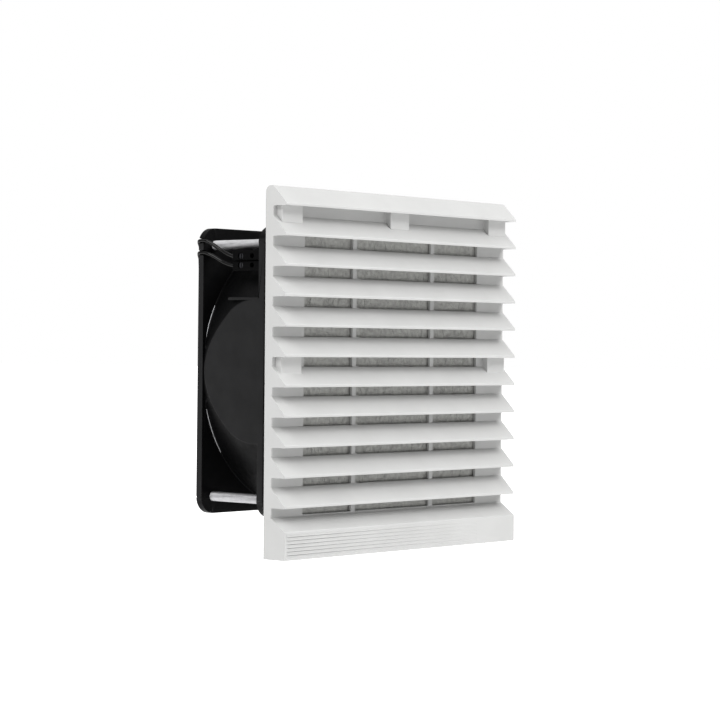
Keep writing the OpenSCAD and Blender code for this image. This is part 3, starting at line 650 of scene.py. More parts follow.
def new_piece(name: str, patches: list[Patch], finish: Finish, body: Body, sharp: float = 40.0) -> Piece:
    """Makes a piece from closed patches: turns their faces outwards, merges seams and poles and smooths them.

    Args:
        name: Name of the piece.
        patches: Points in metres and faces of each closed patch.
        finish: Finish of the whole piece.
        body: Body that the piece moves with.
        sharp: Angle in degrees from which an edge stays sharp.

    Returns:
        The piece, riding on its body.
    """
    points, quads = joined([outward(patch) for patch in patches])
    mesh = bpy.data.meshes.new(name)
    mesh.vertices.add(len(points))
    mesh.vertices.foreach_set("co", points.astype(np.float32).ravel())
    mesh.loops.add(quads.size)
    mesh.loops.foreach_set("vertex_index", quads.astype(np.int32).ravel())
    mesh.polygons.add(len(quads))
    mesh.polygons.foreach_set("loop_start", np.arange(len(quads), dtype=np.int32) * 4)
    mesh.update(calc_edges=True)
    merge(mesh, SEAM)
    mesh.validate()
    mesh.polygons.foreach_set("use_smooth", np.ones(len(mesh.polygons), bool))
    mesh.set_sharp_from_angle(angle=math.radians(sharp))
    return seated(bpy.data.objects.new(name, mesh), finish, body)


def read(rows: bpy.types.bpy_prop_collection, field: str, width: int) -> np.ndarray:
    """Reads one field of all points, edges, corners or faces of a mesh.

    Args:
        rows: Points, edges, corners or faces.
        field: Name of the field.
        width: Number of values in a row.

    Returns:
        Array with one row for each of them.
    """
    kind = np.int32 if field in ("vertices", "edge_index") else np.float32
    values = np.zeros(len(rows) * width, kind)
    rows.foreach_get(field, values)
    return values.reshape(-1, width)


def seated(piece: Piece, finish: Finish, body: Body) -> Piece:
    """Puts a piece into the scene.

    Args:
        piece: Piece to place.
        finish: Finish of the whole piece, which also names its slot.
        body: Body that carries it.

    Returns:
        The piece.
    """
    bpy.context.scene.collection.objects.link(piece)
    piece.data.materials.clear()
    piece.data.materials.append(finish.material())
    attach(piece, body.value)
    return piece


@dataclass(frozen=True)
class SoftEdges:
    """Gives a copy of a hard node the small radii that a mould or a die leaves on its edges."""

    width: float = 0.25 * MM
    segments: int = 2
    corner: float = math.radians(28)
    shortest: float = 0.9 * MM
    room: float = 2.2
    turn_grid: float = 1e3
    level_grid: float = 1e5

    def copy(
        self, node: str, name: str, body: Body, reshape: Callable[[np.ndarray], np.ndarray] | None = None
    ) -> Piece:
        """Copies a node, merges its points and rounds its long edges.

        Args:
            node: Name of the node that the copy stands for.
            name: Name of the copy.
            body: Body that carries it.
            reshape: Gives the merged points their new places, if any move.

        Returns:
            The copy, with a live bevel.
        """
        mesh = frame["nodes"][node].data.copy()
        mesh.name = name
        merge(mesh, 10 * SEAM)
        if reshape:
            mesh.vertices.foreach_set("co", reshape(read(mesh.vertices, "co", 3)).ravel())
            mesh.update()
        self.weigh(mesh)
        piece = seated(bpy.data.objects.new(name, mesh), FINISH_OF[SLOT_OF[node]], body)
        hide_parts(node)
        bevel = piece.modifiers.new("edge radius", "BEVEL")
        bevel.limit_method = "WEIGHT"
        bevel.width = self.width
        bevel.segments = self.segments
        bevel.use_clamp_overlap = False
        normals = piece.modifiers.new("flat faces", "WEIGHTED_NORMAL")
        normals.keep_sharp = True
        return piece

    def weigh(self, mesh: bpy.types.Mesh) -> None:
        """Weighs the edges to round: corners between two flats that are both wide enough for a radius.

        Triangles in one plane make a flat, and its width is twice its area over the length of its outline.
        A flat takes a radius if it is wider than the radius times the room. Every other corner stays sharp.

        Args:
            mesh: Merged mesh of triangles.
        """
        corner = read(mesh.vertices, "co", 3)
        normal = read(mesh.polygons, "normal", 3)
        level = (normal * read(mesh.polygons, "center", 3)).sum(1, keepdims=True)
        planes = np.round(np.hstack([normal * self.turn_grid, level * self.level_grid])).astype(int)
        flat = np.unique(planes, axis=0, return_inverse=True)[1].ravel()
        by_edge = np.argsort(read(mesh.loops, "edge_index", 1).ravel(), kind="stable")
        sides = (by_edge // 3).reshape(-1, 2)
        ends = read(mesh.edges, "vertices", 2)
        length = np.linalg.norm(corner[ends[:, 0]] - corner[ends[:, 1]], axis=1)
        outline = np.where(flat[sides[:, 0]] != flat[sides[:, 1]], length, 0.0)
        around = np.bincount(flat[sides].ravel(), np.repeat(outline, 2))
        area = np.bincount(flat, read(mesh.polygons, "area", 1).ravel())
        is_wide = (2 * area > self.room * self.width * around)[flat]
        is_corner = (normal[sides[:, 0]] * normal[sides[:, 1]]).sum(1) < math.cos(self.corner)
        is_round = is_corner & is_wide[sides].all(1) & (length > self.shortest)
        weight = mesh.attributes.new("bevel_weight_edge", "FLOAT", "EDGE")
        weight.data.foreach_set("value", is_round.astype(np.float32))
        mesh.polygons.foreach_set("use_smooth", np.ones(len(mesh.polygons), bool))
        mesh.edges.foreach_set("use_edge_sharp", is_corner & ~is_round)


class Assembly:
    """A group of pieces that a fitter would call one part."""

    def build(self) -> list[Piece]:
        """Makes the group's pieces."""
        raise NotImplementedError


@dataclass
class LouvreCover(Assembly):
    """Hinged cover with its slats, posts and grip bar."""

    edges: SoftEdges = SoftEdges(width=0.3 * MM, segments=3)
    groove_end: float = 47.55 * MM
    groove_d: float = 0.22 * MM
    slack: float = 0.02 * MM
    run_out: float = 0.1

    def fade_grooves(self, points: np.ndarray) -> np.ndarray:
        """Lets the grip grooves run out to the right: at their right ends y = front + share (y - front).

        Args:
            points: Points of the cover in metres.

        Returns:
            The points, with the grooves' right ends moved.
        """
        front = points[:, 1].min()
        is_end = np.abs(points[:, 0] - self.groove_end) < self.slack
        is_end &= points[:, 1] < front + self.groove_d + self.slack
        points[is_end, 1] = front + self.run_out * (points[is_end, 1] - front)
        return points

    def build(self) -> list[Piece]:
        """Rounds the moulding's edges and fades its grooves."""
        return [self.edges.copy("louvre_cover", "louvre_cover_moulding", Body.COVER, self.fade_grooves)]


@dataclass
class MountingFrame(Assembly):
    """Snap-in frame with the grid that carries the mat."""

    frame_edges: SoftEdges = SoftEdges(width=0.25 * MM, shortest=20 * MM)
    grid_edges: SoftEdges = SoftEdges(width=0.2 * MM)

    def build(self) -> list[Piece]:
        """Rounds the edges of both mouldings.

        Returns:
            The frame and the grid.
        """
        return [
            self.frame_edges.copy("mounting_frame", "mounting_frame_moulding", Body.BASE),
            self.grid_edges.copy("filter_support_grid", "filter_support_grid_moulding", Body.BASE),
        ]


@dataclass
class PanelGasket(Assembly):
    """Foam strip between the frame's flange and the panel."""

    strip_w: float = 4.7 * MM
    corner_r: float = 3 * MM
    edge_r: float = 0.45 * MM
    crown: float = 0.03 * MM
    corner_steps: int = 9

    def build(self) -> list[Piece]:
        """Carries the strip's rounded section round a square path with round corners.

        A point of the path at angle a in a corner is corner + r (cos a, sin a), and the section moves
        outwards from it.

        Returns:
            The gasket.
        """
        low, high = (np.array(corner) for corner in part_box("panel_gasket"))
        half = (high[0] - low[0]) / 2
        middle = (low[1] + high[1]) / 2
        thick = (high[1] - low[1]) / 2 - self.crown
        corners = np.array([[-self.strip_w, -thick], [0.0, -thick], [0.0, thick], [-self.strip_w, thick]])
        section = rounded(corners, np.full(4, self.edge_r))
        quarter = np.linspace(0, np.pi / 2, self.corner_steps)
        angle = (quarter[None, :] + np.arange(4)[:, None] * np.pi / 2).ravel()
        ways = np.stack([np.cos(angle), np.sin(angle)], -1)
        sign = np.repeat([[1, 1], [-1, 1], [-1, -1], [1, -1]], len(quarter), axis=0)
        centre = sign * (half - self.corner_r)
        inner = np.clip(section[:, 0] + self.corner_r, 0.0, None)
        deficit = np.clip(-(section[:, 0] + self.corner_r), 0.0, None)
        flat = centre[:, None] + ways[:, None] * inner[None, :, None] - sign[:, None] * deficit[None, :, None]
        depth = np.broadcast_to(middle + section[:, 1], flat.shape[:2])
        points = np.stack([flat[..., 0], depth, flat[..., 1]], -1)
        strip = surface(np.concatenate([points, points[:1]]))
        gasket = new_piece("panel_gasket_foam", [strip], FINISH_OF["gasket_foam"], Body.BASE, sharp=60.0)
        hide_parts("panel_gasket")
        return [gasket]


@dataclass
class FilterMat(Assembly):
    """Fibre mat behind the louvres: an uneven felted block with loose strands on both faces."""

    cells: int = 90
    edge: float = 0.8 * MM
    swell: float = 0.14 * MM
    strands: int = 2600
    strand_points: int = 6
    strand_len: float = 9 * MM
    strand_r: float = 0.06 * MM
    lift: float = 0.12 * MM
    waves: int = 14
    wave_span: Span = (22 * MM, 2.6 * MM)
    wave_weights: Span = (1.0, 0.5)
    wave_sum: float = 4.2
    crowding: float = 1.5
    strand_shares: Span = (0.4, 1.2)
    strand_bend: float = 0.35
    bend_mean: float = 0.1
    strand_room: float = 0.62
    lift_shares: Span = (-0.4, 1.0)
    back_shift: float = 0.5
    seed: int = 7

    def bumps(self, x: np.ndarray, z: np.ndarray) -> np.ndarray:
        """Height of the felted face from -1 to 1: a sum of waves in many directions, each finer one weaker.

        Args:
            x: X of the points in metres.
            z: Z of the points in metres.

        Returns:
            Height at each point.
        """
        draw = np.random.default_rng(self.seed)
        angle = draw.uniform(0, np.pi, self.waves)
        length = np.geomspace(*self.wave_span, self.waves)
        phase = draw.uniform(0, 2 * np.pi, self.waves)
        along = x[..., None] * np.cos(angle) + z[..., None] * np.sin(angle)
        waves = np.sin(2 * np.pi * along / length + phase)
        return (waves * np.linspace(*self.wave_weights, self.waves)).sum(-1) / self.wave_sum

    def crest(self, x: np.ndarray, z: np.ndarray, half: float, front: bool) -> np.ndarray:
        """Height of a face over the mat's middle: half the depth less the swell, plus swell times bumps."""
        bumps = self.bumps(x, z if front else z + self.back_shift)
        return half - self.swell + self.swell * np.clip(bumps, -1, 1)

    def face(self, low: np.ndarray, high: np.ndarray, front: bool) -> np.ndarray:
        """One face of the block: its depth falls to the middle at the rim as a quarter of an ellipse.

        Args:
            low: Lowest corner of the mat's space.
            high: Highest corner.
            front: True for the face towards the louvres.

        Returns:
            Grid of points.
        """
        share = np.linspace(-1, 1, self.cells)
        share = np.sign(share) * (1 - (1 - np.abs(share)) ** self.crowding)
        x, z = np.meshgrid(share * high[0], share * high[2], indexing="ij")
        rim = np.minimum(high[0] - np.abs(x), high[2] - np.abs(z))
        fall = np.sqrt(1 - np.clip(1 - rim / self.edge, 0, 1) ** 2)
        middle, half = (low[1] + high[1]) / 2, (high[1] - low[1]) / 2
        height = self.crest(x, z, half, front)
        return np.stack([x, middle + (-1 if front else 1) * fall * height, z], -1)

    def strand_patch(self, low: np.ndarray, high: np.ndarray, front: bool) -> Patch:
        """Loose strands: each is a line on the face, p = c + L (t cos a, t sin a), bent by q t^2.

        Args:
            low: Lowest corner of the mat's space.
            high: Highest corner.
            front: True for the face towards the louvres.

        Returns:
            All the face's strands as three-sided tubes that are thin at both ends.
        """
        draw = np.random.default_rng(self.seed + front)
        t = np.linspace(-0.5, 0.5, self.strand_points)[None, :]
        angle = draw.uniform(0, 2 * np.pi, (self.strands, 1))
        length = self.strand_len * draw.uniform(*self.strand_shares, (self.strands, 1))
        bend = draw.normal(0, self.strand_bend, (self.strands, 1))
        reach = high[0] - self.strand_room * self.strand_len
        middle = draw.uniform(-reach, reach, (self.strands, 2))
        along, across = length * t, length * bend * (t**2 - self.bend_mean)
        x = middle[:, :1] + along * np.cos(angle) - across * np.sin(angle)
        z = middle[:, 1:] + along * np.sin(angle) + across * np.cos(angle)
        centre, half = (low[1] + high[1]) / 2, (high[1] - low[1]) / 2
        rise = self.lift * draw.uniform(*self.lift_shares, (self.strands, 1)) * (1 - 4 * t**2)
        y = centre + (-1 if front else 1) * (self.crest(x, z, half, front) + rise)
        path = np.stack([x, y, z], -1)
        radius = self.strand_r * np.sqrt(np.clip(1 - 4 * t**2, 0, 1))
        turn = np.arange(3) * 2 * np.pi / 3
        side = np.stack([-np.sin(angle), np.zeros_like(angle), np.cos(angle)], -1)
        ring = np.cos(turn)[None, None, :, None] * side[:, :, None]
        ring = ring + np.sin(turn)[None, None, :, None] * np.array([0.0, 1.0, 0.0])
        points = path[:, :, None] + radius[..., None, None] * ring
        quads = quads_between(self.strand_points, 3, True)
        first = np.arange(self.strands)[:, None, None] * (3 * self.strand_points)
        return points.reshape(-1, 3), (quads[None] + first).reshape(-1, 4)

    def build(self) -> list[Piece]:
        """Makes the block and its strands.

        Returns:
            The felted block and the strands.
        """
        low, high = (np.array(corner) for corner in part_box("filter_mat"))
        finish = FINISH_OF["filter_fibre"]
        front, back = (surface(self.face(low, high, is_front), ring=False) for is_front in (True, False))
        mat = new_piece("filter_mat_felt", [joined([front, flipped(back)])], finish, Body.BASE, sharp=70.0)
        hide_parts("filter_mat")
        loose = [self.strand_patch(low, high, is_front) for is_front in (True, False)]
        strands = new_piece("filter_mat_strands", loose, finish, Body.BASE, sharp=180.0)
        return [mat, strands]


@dataclass
class FanHousing(Assembly):
    """Die-cast housing with its terminal block and bearing plug."""

    casting: SoftEdges = SoftEdges(width=0.45 * MM, segments=3, corner=math.radians(14), shortest=1.2 * MM)
    block: SoftEdges = SoftEdges(width=0.25 * MM)
    plug_round: float = 0.5 * MM
    plug_dish: float = 0.4 * MM
    dish_shares: Span = (0.72, 0.6)
    dish_round: float = 0.3 * MM
    plug_foot: float = 0.2 * MM
    plug_steps: int = 64
    flange_t: float = 3 * MM
    bead_at: float = 59.05 * MM
    bead_r: float = 0.32 * MM
    bead_sides: int = 12
    bead_steps: int = 49
    bead_arcs: tuple[Span, ...] = ((159.0, 8.5), (205.8, 12.0), (-21.0, 8.5), (25.8, 12.0))

    def bead(self) -> Piece:
        """Fillets where the barrel meets the rear flange beside each side's flat, in bright steel as a
        painted highlight along that edge.

        Each is a circle of radius r = r0 (1 - (a / span)^4) carried along an arc of angle a about the fan's
        axis.

        Returns:
            The four fillets in one piece.
        """
        inner_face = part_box("fan_housing")[1][1] - self.flange_t
        turn = np.arange(self.bead_sides)[None, :] * 2 * np.pi / self.bead_sides
        share = np.linspace(-1, 1, self.bead_steps)[:, None]
        thick = self.bead_r * (1 - share**4)
        out = self.bead_at + thick * np.cos(turn)
        depth = inner_face + thick * np.sin(turn)
        patches = []
        for middle, span in self.bead_arcs:
            angle = np.radians(middle + span * share)
            patches.append(surface(np.stack([out * np.cos(angle), depth, out * np.sin(angle)], -1)))
        # Painted highlight: the bright steel finish on these thin arcs stands in for the light caught along
        # the barrel's foot.
        return new_piece("rear_flange_highlight_fillets", patches, FINISH_OF["motor_steel"], Body.BASE)

    def plug(self) -> Piece:
        """Bearing plug: a disc with a rounded rim and a shallow dish, revolved about the fan's axis.

        Returns:
            The plug.
        """
        low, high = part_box("bearing_cap")
        radius = high[0]
        dish = high[1] - self.plug_dish
        rim, floor = (radius * share for share in self.dish_shares)
        corners = np.array([
            [0.0, low[1]], [radius, low[1]], [radius, high[1]], [rim, high[1]], [floor, dish], [0.0, dish],
        ])
        radii = np.array([0.0, self.plug_foot, self.plug_round, self.dish_round, self.dish_round, 0.0])
        disc = revolve(rounded(corners, radii), self.plug_steps)
        piece = new_piece("bearing_plug", [disc], FINISH_OF["terminal_black"], Body.BASE)
        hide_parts("bearing_cap")
        return piece

    def build(self) -> list[Piece]:
        """Rounds the casting and the block, and makes the fillets and the plug.

        Returns:
            The casting, the block, the fillets and the plug.
        """
        return [
            self.casting.copy("fan_housing", "fan_housing_casting", Body.BASE),
            self.block.copy("terminal_block", "terminal_block_body", Body.BASE),
            self.bead(),
            self.plug(),
        ]


@dataclass
class Impeller(Assembly):
    """Fan wheel: a cup-shaped hub and five twisted blades."""

    blades: int = 5
    hub_r: float = 31.5 * MM
    hub_t: float = 2.6 * MM
    hub_round: float = 3 * MM
    lip_round: float = 0.4 * MM
    floor_round: float = 0.6 * MM
    tip_r: float = 54.9 * MM
    pitch_root: float = 48.0
    pitch_tip: float = 30.0
    chord_root: float = 31 * MM
    chord_tip: float = 42 * MM
    blade_t: float = 2 * MM
    camber: float = 0.06
    fullness: float = 0.7
    spans: int = 16
    chords: int = 20
    round_steps: int = 7
    hub_steps: int = 96

    def blade(self, middle: float) -> np.ndarray:
        """Skin of one blade: cambered sections that twist and widen from the hub to the tip.

        At share s of the span and c of the chord, a point lies c L along the chord and k L (1 - 4 c^2) off it
        for the camber k, plus or minus half the thickness, turned by the pitch and wrapped on the radius.

        Args:
            middle: Y of the blade's middle.

        Returns:
            Rings of points from root to tip, closed at both ends.
        """
        s = np.linspace(0, 1, self.spans)[:, None]
        sweep = np.linspace(0, 2 * np.pi, 2 * self.chords, endpoint=False)[None, :]
        c, side = -0.5 * np.cos(sweep), np.sin(sweep)
        root = self.hub_r - self.hub_t / 2
        radius = root + s * (self.tip_r - root)
        pitch = np.radians(self.pitch_root + s * (self.pitch_tip - self.pitch_root))
        chord = self.chord_root + s * (self.chord_tip - self.chord_root)
        skin = np.sign(side) * np.abs(side) ** self.fullness * self.blade_t / 2
        off = self.camber * chord * (1 - 4 * c**2) + skin
        axial = c * chord * np.sin(pitch) + off * np.cos(pitch)
        angle = (c * chord * np.cos(pitch) - off * np.sin(pitch)) / radius
        rings = np.stack([radius * np.cos(angle), middle + axial, radius * np.sin(angle)], -1)
        flip = np.roll(rings[:, ::-1], 1, axis=1)
        centre = (rings + flip) / 2
        return np.concatenate([centre[:1], rings, centre[-1:]])

    def build(self) -> list[Piece]:
        """Revolves the hub and turns copies of the blade about its axis.

        Returns:
            The wheel.
        """
        low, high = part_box("impeller")
        inner = self.hub_r - self.hub_t
        corners = np.array([
            [0.0, low[1]], [self.hub_r, low[1]], [self.hub_r, high[1]],
            [inner, high[1]], [inner, low[1] + self.hub_t], [0.0, low[1] + self.hub_t],
        ])
        radii = np.array([0.0, self.hub_round, self.lip_round, self.lip_round, self.floor_round, 0.0])
        patches = [revolve(rounded(corners, radii, self.round_steps), self.hub_steps)]
        skin = self.blade((low[1] + high[1]) / 2)
        for i in range(self.blades):
            turn = Matrix.Rotation(2 * math.pi * i / self.blades, 3, "Y")
            patches.append(surface(skin @ np.array(turn).T))
        wheel = new_piece("impeller_wheel", patches, FINISH_OF["impeller_black"], Body.ROTOR, sharp=50.0)
        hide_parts("impeller")
        return [wheel]


@dataclass
class Bolts(Assembly):
    """Long threaded bolts with domed heads, and their washers and nuts."""

    pitch: float = 0.7 * MM
    thread_h: float = 0.34 * MM
    crest_r: float = 2 * MM
    crest_flat: float = 0.15
    flank: float = 1.35
    turn_steps: int = 24
    pitch_steps: int = 6
    head_r: float = 3.6 * MM
    head_round: float = 1.1 * MM
    head_steps: int = 96
    rim_steps: int = 8
    crown_steps: int = 30
    seat_t: float = 0.3 * MM
    recess_w: float = 0.42 * MM
    recess_r: float = 1.9 * MM
    recess_d: float = 1.2 * MM
    recess_wall: float = 0.12 * MM
    recess_end: float = 0.5 * MM
    tip_taper: float = 0.7 * MM
    tip_cut: float = 0.9
    soft: SoftEdges = SoftEdges(width=0.12 * MM)

    def shank(self, axis: Span, start: float, end: float) -> Patch:
        """Threaded rod: r = crest - h w(y / pitch - t / 2 pi), where w rises and falls once in each turn.

        Args:
            axis: X and Z of the bolt's axis.
            start: Y of the tip.
            end: Y below the head.

        Returns:
            Closed patch of the rod.
        """
        x, z = axis
        rows = int((end - start) / self.pitch * self.pitch_steps)
        y = np.linspace(start, end, rows)[:, None]
        turn = np.arange(self.turn_steps)[None, :] * 2 * np.pi / self.turn_steps
        wave = np.abs(2 * ((y / self.pitch - turn / (2 * np.pi)) % 1.0) - 1)
        r = self.crest_r - self.thread_h * np.clip(self.flank * wave - self.crest_flat, 0, 1)
        r = r - self.thread_h * np.clip(1 - (y - start) / self.tip_taper, 0, 1) * self.tip_cut
        rod = np.stack([x + r * np.cos(turn), np.broadcast_to(y, r.shape), z + r * np.sin(turn)], -1)
        ends = [np.broadcast_to([x, y0, z], rod[0].shape)[None] for y0 in (start, end)]
        return surface(np.concatenate([ends[0], rod, ends[1]]))

    def head(self, axis: Span, base: float, top: float) -> Patch:
        """Domed head: a revolved profile whose top is pressed in where the cross recess lies.

        Args:
            axis: X and Z of the bolt's axis.
            base: Y of the head's seat.
            top: Y of the head's top.

        Returns:
            Closed patch of the head.
        """
        arc = np.linspace(0, np.pi / 2, self.rim_steps)
        edge = self.head_round * (1 - np.stack([np.cos(arc), np.sin(arc)], -1))
        rim = np.array([self.head_r, top]) - edge
        inwards = np.linspace(rim[-1, 0], 0, self.crown_steps)[1:]
        crown = np.stack([inwards, np.full_like(inwards, top)], -1)
        profile = np.vstack([[[0.0, base], [self.head_r, base]], rim, crown])
        points, quads = revolve(profile, self.head_steps, axis)
        across = np.abs(points[:, [0, 2]] - axis)
        arm = np.clip((self.recess_w - across.min(1)) / self.recess_wall + 0.5, 0, 1)
        reach = np.clip((self.recess_r - across.max(1)) / self.recess_end, 0, 1)
        is_top = points[:, 1] > base + self.seat_t
        points[:, 1] -= np.where(is_top, self.recess_d * arm * reach, 0.0)
        return points, quads

    def build(self) -> list[Piece]:
        """Makes the four bolts in one piece, and rounds the washers and nuts.

        Returns:
            The bolts, the washers and the nuts.
        """
        low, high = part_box("fan_bolts")
        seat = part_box("bolt_washers")[1][1]
        centre = high[0] - self.head_r
        patches = []
        for x in (-centre, centre):
            for z in (-centre, centre):
                patches.append(self.shank((x, z), low[1], seat))
                patches.append(self.head((x, z), seat, high[1]))
        bolts = new_piece("fan_bolts_threaded", patches, FINISH_OF["bolt_zinc"], Body.BASE, sharp=35.0)
        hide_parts("fan_bolts")
        return [
            bolts,
            self.soft.copy("bolt_washers", "bolt_washers_plated", Body.BASE),
            self.soft.copy("bolt_nuts", "bolt_nuts_plated", Body.BASE),
        ]


@dataclass
class Leads(Assembly):
    """Two insulated leads from the motor along a strut and round the rear flange to the terminal block."""

    radius: float = 0.8 * MM
    sides: int = 16
    steps: int = 6
    end_step: float = 1e-4
    live: tuple[Point, ...] = (
        (-22.4, 46.8, 11.5), (-22.4, 49.3, 11.5), (-22.8, 50.6, 11.7), (-23.7, 51.3, 12.1),
        (-25.5, 51.4, 12.9), (-28, 51.4, 14.1), (-35.9, 51.4, 17.8), (-44.4, 51.5, 21.7),
        (-48.6, 52.9, 23.8), (-51.6, 53.5, 25.8), (-53.4, 53.5, 29.5), (-54.1, 53.5, 36),
        (-54.2, 53.5, 42), (-54.5, 53.5, 45), (-55.2, 53.5, 47), (-56.3, 53.5, 49),
        (-57, 53.5, 50.8), (-57.4, 53.5, 52.2), (-58, 53.4, 53.2), (-58.5, 52.9, 53.9),
        (-58.7, 52, 54.1), (-58.7, 51, 54.1), (-58.7, 49.5, 54.1), (-58.6, 48.3, 53.8),
        (-58, 46.6, 53), (-57.2, 44.4, 51.6), (-56.5, 41.4, 49.8), (-56.3, 38, 48.2),
        (-56.3, 35, 47.3), (-56.3, 32.9, 47.3),
    )
    neutral: tuple[Point, ...] = (
        (-23.2, 46.8, 9.8), (-23.2, 49.3, 9.8), (-23.6, 50.6, 9.9), (-24.5, 51.3, 10.4),
        (-26.3, 51.4, 11.2), (-28.8, 51.4, 12.3), (-36.7, 51.4, 16), (-45.2, 51.5, 20),
        (-49.6, 52.9, 22.1), (-53.2, 53.5, 24.2), (-55.4, 53.5, 28.6), (-56.2, 53.5, 35),
        (-56.4, 53.5, 41), (-56.9, 53.5, 44.5), (-57.3, 53.5, 46.6), (-58, 53.4, 48.2),
        (-58.5, 52.9, 48.9), (-58.7, 52, 49.1), (-58.7, 51, 49.1), (-58.7, 49.5, 49.1),
        (-58.6, 48.3, 48.8), (-58.1, 46.4, 48.1), (-57.3, 43.9, 46.8), (-56.6, 40.8, 45.1),
        (-56.3, 37.6, 44), (-56.3, 35, 43.5), (-56.3, 32.9, 43.5),
    )

    def lead(self, node: str, route: tuple[Point, ...]) -> Piece:
        """One lead: a round tube on a smooth line through the route's points.

        Args:
            node: Node that the lead stands for.
            route: Points in millimetres.

        Returns:
            The lead.
        """
        path = smooth_path(np.array(route, float) * MM, self.steps)
        path = np.vstack([path[:1], path, path[-1:]])
        path[0] += (path[1] - path[2]) * self.end_step
        path[-1] += (path[-2] - path[-3]) * self.end_step
        radii = np.full(len(path), self.radius)
        radii[[0, -1]] = 0.0
        skin = tube(path, radii, self.sides)
        piece = new_piece(node + "_insulation", [skin], FINISH_OF["lead_black"], Body.BASE)
        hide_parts(node)
        return piece

    def build(self) -> list[Piece]:
        """Makes both leads."""
        return [self.lead("lead_live", self.live), self.lead("lead_neutral", self.neutral)]


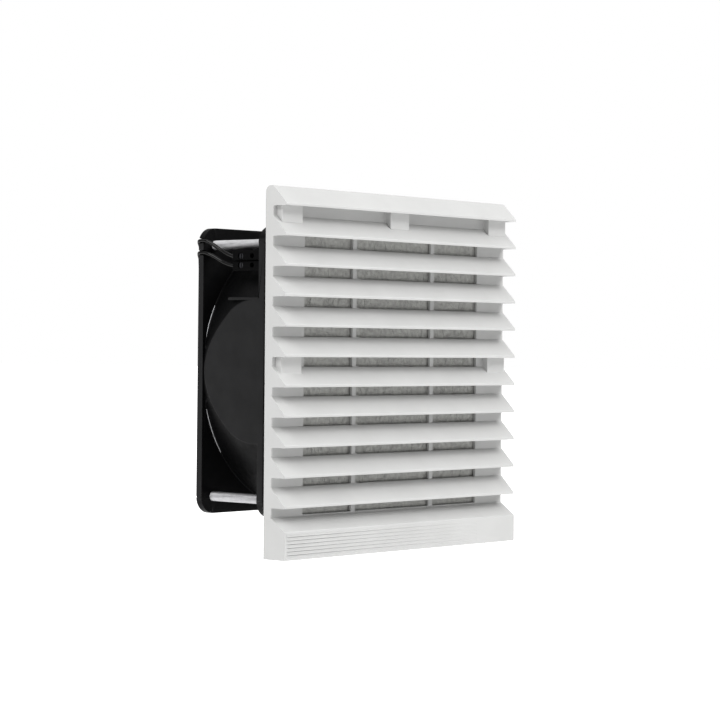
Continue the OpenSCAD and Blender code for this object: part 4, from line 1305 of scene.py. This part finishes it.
@dataclass
class Studio:
    """Camera at the photograph's angle, soft lamps, a white sky and a pale floor."""

    eye: Point = (-748.70, -642.00, 10.33)
    yaw: float = 48.75
    pitch: float = -0.309
    roll: float = 0.520
    lens: float = 117.18
    sensor: float = 36.0
    clip: Span = (0.01, 100.0)
    floor_z: float = -74.6 * MM
    floor_span: Span = (0.05, 9.0)
    floor_rings: int = 24
    floor_sides: int = 64
    floor_grey: float = 0.05
    floor_rough: float = 0.9
    floor_glow: float = 1.5
    low_sky: float = 0.22
    high_sky: float = 0.9
    dome_rise: Span = (0.35, 0.75)
    wall_edge: Span = (0.8, 0.95)
    lamps: tuple[tuple[str, Point, float], ...] = (
        ("key", (0.9, -1.2, 1.2), 26.5),
        ("side", (-1.4, -0.2, 1.2), 17.0),
    )
    lamp_size: float = 0.9

    def camera(self) -> None:
        """Makes the camera, rolled about its sight line (sin yaw cos pitch, cos yaw cos pitch, sin pitch)."""
        yaw, pitch, roll = (math.radians(angle) for angle in (self.yaw, self.pitch, self.roll))
        ahead = Vector((math.sin(yaw) * math.cos(pitch), math.cos(yaw) * math.cos(pitch), math.sin(pitch)))
        right = Vector((math.cos(yaw), -math.sin(yaw), 0.0))
        up = right.cross(ahead)
        right, up = math.cos(roll) * right + math.sin(roll) * up, math.cos(roll) * up - math.sin(roll) * right
        data = bpy.data.cameras.new("camera")
        data.lens = self.lens
        data.sensor_width = self.sensor
        data.clip_start, data.clip_end = self.clip
        camera = bpy.data.objects.new("camera", data)
        turn = Matrix((right, up, -ahead)).transposed().to_4x4()
        camera.matrix_world = Matrix.Translation(Vector(self.eye) * MM) @ turn
        bpy.context.scene.collection.objects.link(camera)
        bpy.context.scene.camera = camera

    def sky(self) -> None:
        """Makes the sky: a white wall behind the object, a dim low sky and a brighter dome, white to the eye.

        A sight line d lies on the wall by the smooth step of d . ahead, and on the dome by the smooth step of
        its rise.
        """
        world = bpy.data.worlds.new("studio sky")
        world.use_nodes = True
        tree = world.node_tree
        sight = tree.nodes.new("ShaderNodeTexCoord").outputs["Generated"]
        ahead = tree.nodes.new("ShaderNodeVectorMath")
        ahead.operation = "DOT_PRODUCT"
        yaw = math.radians(self.yaw)
        ahead.inputs[1].default_value = (math.sin(yaw), math.cos(yaw), 0.0)
        parts = tree.nodes.new("ShaderNodeSeparateXYZ")
        tree.links.new(sight, ahead.inputs[0])
        tree.links.new(sight, parts.inputs[0])
        eye = tree.nodes.new("ShaderNodeLightPath").outputs["Is Camera Ray"]
        steps = (
            (parts.outputs["Z"], self.dome_rise, self.high_sky),
            (ahead.outputs["Value"], self.wall_edge, 1.0),
            (eye, (0.0, 1.0), 1.0),
        )
        glow = None
        for source, span, level in steps:
            step = tree.nodes.new("ShaderNodeMapRange")
            step.interpolation_type = "SMOOTHSTEP"
            step.inputs["From Min"].default_value, step.inputs["From Max"].default_value = span
            step.inputs["To Min"].default_value = self.low_sky
            step.inputs["To Max"].default_value = level
            tree.links.new(source, step.inputs["Value"])
            if glow:
                tree.links.new(glow, step.inputs["To Min"])
            glow = step.outputs["Result"]
        tree.links.new(glow, tree.nodes["Background"].inputs["Strength"])
        tree.nodes["Background"].inputs["Color"].default_value = (1.0, 1.0, 1.0, 1.0)
        bpy.context.scene.world = world

    def lamp(self, name: str, place: Point, power: float) -> None:
        """Makes a square lamp that faces the object.

        Args:
            name: Name of the lamp.
            place: Where it hangs, in metres.
            power: Power in watts.
        """
        data = bpy.data.lights.new(name, "AREA")
        data.size = self.lamp_size
        data.energy = power
        lamp = bpy.data.objects.new(name, data)
        lamp.location = place
        lamp.rotation_mode = "QUATERNION"
        lamp.rotation_quaternion = (-Vector(place)).to_track_quat("-Z", "Y")
        bpy.context.scene.collection.objects.link(lamp)

    def floor(self) -> None:
        """Makes the floor: a disc of rings whose radii grow by equal factors."""
        radius = np.append(0.0, np.geomspace(*self.floor_span, self.floor_rings))
        points, quads = revolve(np.stack([radius, np.zeros_like(radius)], -1), self.floor_sides)
        points[:, 1], points[:, 2] = points[:, 2].copy(), self.floor_z
        mesh = bpy.data.meshes.new("floor")
        mesh.from_pydata(points.tolist(), [], quads[:, ::-1].tolist())
        sheet = NodeSheet("floor_paper")
        grey = (self.floor_grey, self.floor_grey, self.floor_grey, 1.0)
        sheet.put(Base_Color=grey, Roughness=self.floor_rough, Specular_IOR_Level=0.0)
        sheet.put(Emission_Color=(1.0, 1.0, 1.0, 1.0), Emission_Strength=self.floor_glow)
        mesh.materials.append(sheet.material)
        piece = bpy.data.objects.new("floor", mesh)
        bpy.context.scene.collection.objects.link(piece)

    def build(self) -> None:
        """Sets up the camera, the sky, the lamps and the floor."""
        bpy.context.scene.view_settings.view_transform = "Standard"
        self.camera()
        self.sky()
        for name, place, power in self.lamps:
            self.lamp(name, place, power)
        self.floor()


def dress_nodes() -> None:
    """Gives every node of the frame the finish of its slot."""
    for name, node in frame["nodes"].items():
        node.data.materials.clear()
        node.data.materials.append(FINISH_OF[SLOT_OF[name]].material())


def main() -> None:
    """Sets up the studio, dresses the frame and builds each assembly in turn."""
    logging.basicConfig(level=logging.INFO, format="%(name)s: %(message)s")
    Studio().build()
    dress_nodes()
    groups = (
        LouvreCover(), MountingFrame(), PanelGasket(), FilterMat(),
        FanHousing(), Impeller(), Bolts(), Leads(),
    )
    for group in groups:
        for piece in group.build():
            log.info("%s: %s, %d faces", type(group).__name__, piece.name, len(piece.data.polygons))


if __name__ == "__main__":
    main()
